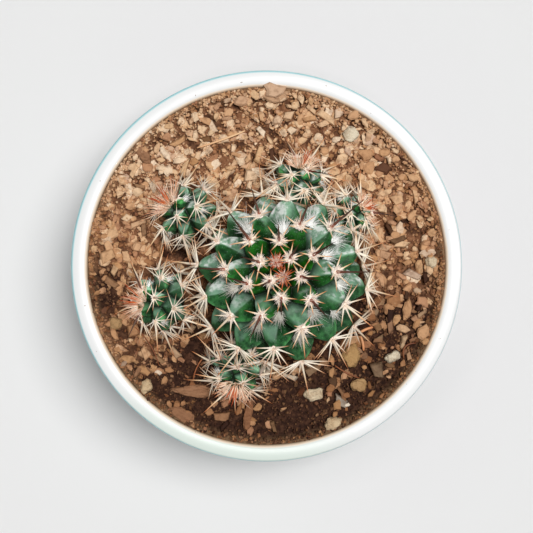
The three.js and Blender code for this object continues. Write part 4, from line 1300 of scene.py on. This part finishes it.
spines = {
    "rows": 7, "sides": 6,
    # fans of young spines: how many, length in mm or as a share of the tuft's, radius, how dark, how
    # fresh; degrees that they spread over, mm that their roots do
    "soft": {"length": 0.85, "thick": 0.11, "dark": 0.0, "fresh": (0.0, 0.42), "spread": 68.0, "rooted": 3.4},
    "bold": {"length": 1.0, "thick": 0.24, "dark": 0.8, "fresh": (0.6, 1.0), "spread": 26.0, "rooted": 1.6},
    "young": {"count": 30, "length": 3.3, "thick": 0.19, "dark": 0.7, "fresh": (0.55, 1), "spread": 62.0,
              "rooted": 1.3},
    "fanSag": 0.07, "fanLength": (0.5, 1.1), "fanPale": 0.6,
    # radial spines: number, length and lean when young, and how much more when old and when oldest
    "old": (30, 85), "eldest": (78, 100), "number": (6, 3.4, 4), "length": (5.0, 3.2, 0.22),
    "open": (66, 6), "uneven": 7, "gapWhenOld": 110, "darkWhenEldest": 0.45, "paleFrom": (28, 60),
    "numberUneven": 0.6, "lengthUneven": (0.8, 1.15), "pale": (0.45, 1.0), "sag": (0.02, 0.05),
    # middle spines: the main stem's by its table, their rise above level in degrees, less with age
    # but never under the least; tan ones are older, except two
    "centralRadius": 0.42, "centralLonger": 1.08, "rise": (46.0, 0.55, 14.0), "tanFrom": 44,
    "keptDark": (19, 17), "tan": (0.25, 0.5), "black": (0.92, 1.0),
    # the others stand down and out of each areole, dark ones on the young
    "innerDark": (0.85, 1.0), "innerTan": (0.05, 0.35),
    "innerRadius": 0.38, "innerLength": (6.2, 5.2), "grown": (12, 60), "innerDarkTo": 48,
    # every spine: how fast it thins, mm at its tip, how much thicker its foot is and how far up
    "taper": 0.75, "tipRadius": 0.018, "foot": 0.35, "footReach": 0.12,
}


def fanRows(root, axis, fan, count, scale, draw):
    # young spines fanned round one axis: count, length, thickness and freshness are the fan's own
    one = unit(np.cross(axis, [0.3, 0.2, 0.9]))
    two = np.cross(axis, one)
    rows = []
    for _ in range(count):
        turn, open_ = tau * draw.random(), np.radians(fan["spread"]) * np.sqrt(draw.random())
        side = circled(turn, one, two)
        sag = draw.normal(0, spines["fanSag"])
        length = fan["length"] * scale * draw.uniform(*spines["fanLength"])
        rows.append((root + fan["rooted"] * np.sin(open_) * side, circled(open_, axis, side), side, sag,
                     length, fan["thick"], fan["dark"], draw.uniform(*fan["fresh"]), spines["fanPale"]))
    return rows


def spineRows(stem, draw):
    # root, aim, way of the sag, sag, length, radius, then how dark, how fresh and how pale it is
    tip, out, down, across, age = areolesOf(stem)
    size, tuft = 0.55 + 0.45 * stem["scale"], stem["tuft"]
    rows = []
    if tuft["count"]:
        axis = direction(np.radians(90 - tuft["rise"]), np.radians(tuft["heading"]))
        apex = surfacePoint(stem, np.zeros(1), np.zeros(1), np.full(1, 0.9))[0]
        rows += fanRows(apex, axis, spines["soft"], tuft["count"], tuft["length"], draw)
        rows += fanRows(apex, axis, spines["bold"], tuft["bold"], tuft["length"], draw)
    for i in range(len(tip)):
        if i < 2 * stem["newborn"]:
            rows += fanRows(tip[i], out[i], spines["young"], spines["young"]["count"], 1.0, draw)
            continue
        old, eldest = (float(smoothStep(age[i], *spines[key])) for key in ("old", "eldest"))
        first, more, most = spines["number"]
        number = (first + more * old + most * eldest) * stem["dense"]
        count = int(round(number + draw.uniform(-spines["numberUneven"], spines["numberUneven"])))
        fanned = 360 - spines["gapWhenOld"] * old  # old areoles have no spines towards the stem's tip
        first, more, most = spines["length"]
        longest = (first + more * old) * size * stem["spineLength"] * (1 + most * eldest)
        for j in range(count):
            turn = np.radians(fanned * ((j + 0.5) / count - 0.5) + draw.normal(0, spines["uneven"]))
            open_ = np.radians(draw.normal(spines["open"][0] + spines["open"][1] * old, spines["uneven"]))
            side = circled(turn, down[i], across[i])
            length = longest * draw.uniform(*spines["lengthUneven"])
            # a stem's dusk adds painted shade to its spines
            rows.append((tip[i] + 0.25 * stem["padRadius"] * side, circled(open_, out[i], side), side,
                         draw.normal(*spines["sag"]), length, stem["spineRadius"],
                         stem["dusk"] + draw.uniform(0, 0.08 + spines["darkWhenEldest"] * eldest), 0.0,
                         float(smoothStep(age[i], *spines["paleFrom"])) * draw.uniform(*spines["pale"])))
        if i in stem["centrals"]:
            heading, seen = stem["centrals"][i]
            first, less, least = spines["rise"]
            rise = np.radians(max(least, first - less * age[i]))
            aim = direction(tau / 4 - rise, np.radians(heading))
            tanned = age[i] > spines["tanFrom"] and i not in spines["keptDark"]
            rows.append((tip[i] + 0.5 * out[i], aim, down[i], draw.normal(0, 0.02),
                         spines["centralLonger"] * seen / np.cos(rise), spines["centralRadius"],
                         draw.uniform(*spines["tan" if tanned else "black"]), 0.0, 0.0))
            continue
        aim = unit(out[i] + (0.6 + 0.3 * draw.random()) * down[i] + draw.normal(0, 0.2) * across[i])
        dark = draw.uniform(*spines["innerTan" if age[i] >= spines["innerDarkTo"] else "innerDark"])
        first, more = spines["innerLength"]
        length = (first + more * float(smoothStep(age[i], *spines["grown"]))) * size
        rows.append((tip[i], aim, down[i], draw.normal(0.02, 0.04), length * draw.uniform(0.8, 1.1),
                     spines["innerRadius"] * (0.4 + 0.6 * size), dark, 0.0, 0.0))
    return rows


def makeSpines(name, stem, draw):
    # thin horns that taper from a thicker foot to a fine tip
    root, aim, sagWay, sag, length, radius, dark, fresh, pale = (
        np.array(column) for column in zip(*spineRows(stem, draw)))
    t = np.linspace(0, 1, spines["rows"])[None]
    foot = 1 + spines["foot"] * np.exp(-((t / spines["footReach"]) ** 2))
    thick = radius[:, None] * (1 - t) ** spines["taper"] * foot + spines["tipRadius"]
    points = sweep(curved(root, aim, sagWay * sag[:, None], length, spines["rows"]), thick, spines["sides"])
    along = perPoint(np.repeat(t, len(root), axis=0), spines["sides"])
    addMany(name + "_spines", points, (spines["rows"], spines["sides"]), "spine", "cactus",
            along=along, dark=dark, fresh=fresh, pale=pale)


wool = {
    "hairs": 120, "offsetHairs": 60, "axilBelow": 12, "axilSize": 0.9, "size": 0.82,
    # as shares of the tuft's size: how far the roots spread across and down, and the length, which
    # falls off to the sides; how far a hair points out, down and to its side
    "spread": 0.75, "widest": 1.7, "across": 0.75, "down": (0.3, 0.7), "length": (1.2, 6.0), "shorter": 0.2,
    "aim": (0.4, 0.8, 0.42), "wander": 0.24, "curl": 0.2, "radius": 0.085, "taper": 0.8,
    # painted shade: greyer on the side away from this heading, in degrees
    "awayShade": 0.45, "brightAt": 60, "rows": 4, "sides": 3,
}


def makeWool(name, stem, draw):
    # tufts of fine white hair out of the creases, fanned away from the stem's tip
    polar, azimuth = (np.degrees(angle) for angle in tuberclesOf(stem))
    table = [(polar[i] + wool["axilBelow"], azimuth[i], wool["axilSize"]) for i in stem["axils"]]
    polar, azimuth, scale = np.array([*stem["wool"], *table]).T
    low, high = (surfacePoint(stem, np.radians(polar), np.radians(azimuth), np.full(len(polar), raised))
                 for raised in (0.5, 1.0))
    out = unit(high - low)
    down, across = wayDown(stem, out)
    # painted shade: tufts that face away from the light are greyer
    awayShade = wool["awayShade"] * (1 - np.cos(np.radians(azimuth - wool["brightAt"])))
    i = np.repeat(np.arange(len(polar)), wool["hairs" if stem["wool"] else "offsetHairs"])
    n, size = len(i), (wool["size"] * stem["scale"] * scale)[i]
    side = np.clip(draw.normal(0, wool["spread"], n), -wool["widest"], wool["widest"])
    start = low[i] + across[i] * (wool["across"] * size * side)[:, None]
    start += down[i] * (draw.normal(*wool["down"], n) * size)[:, None]
    outwards, below, beside = wool["aim"]
    aim = unit(outwards * out[i] + below * down[i] + across[i] * (beside * side)[:, None]
               + draw.normal(0, wool["wander"], (n, 3)))
    length = size * draw.uniform(*wool["length"], n) * np.exp(-wool["shorter"] * side ** 2)
    curl = draw.normal(0, wool["curl"], (n, 3))
    t = np.linspace(0, 1, wool["rows"])[None]
    thick = wool["radius"] * (0.6 + 0.4 * stem["scale"]) * (1 - wool["taper"] * t) + np.zeros((n, 1))
    points = sweep(curved(start, aim, curl, length, wool["rows"]), thick, wool["sides"])
    tint = np.clip(awayShade[i] + draw.uniform(-0.3, 0.3, n), 0, 1)
    addMany(name + "_wool", points, (wool["rows"], wool["sides"]), "wool", "cactus", tint=tint)


for i, (name, stem) in enumerate(stems.items()):
    draw = np.random.default_rng(seeds["stems"] + i)
    makeBody(name, stem)
    makeFelt(name, stem, draw)
    makeSpines(name, stem, draw)
    makeWool(name, stem, np.random.default_rng(seeds["wool"] + i))
    print(name, "made")
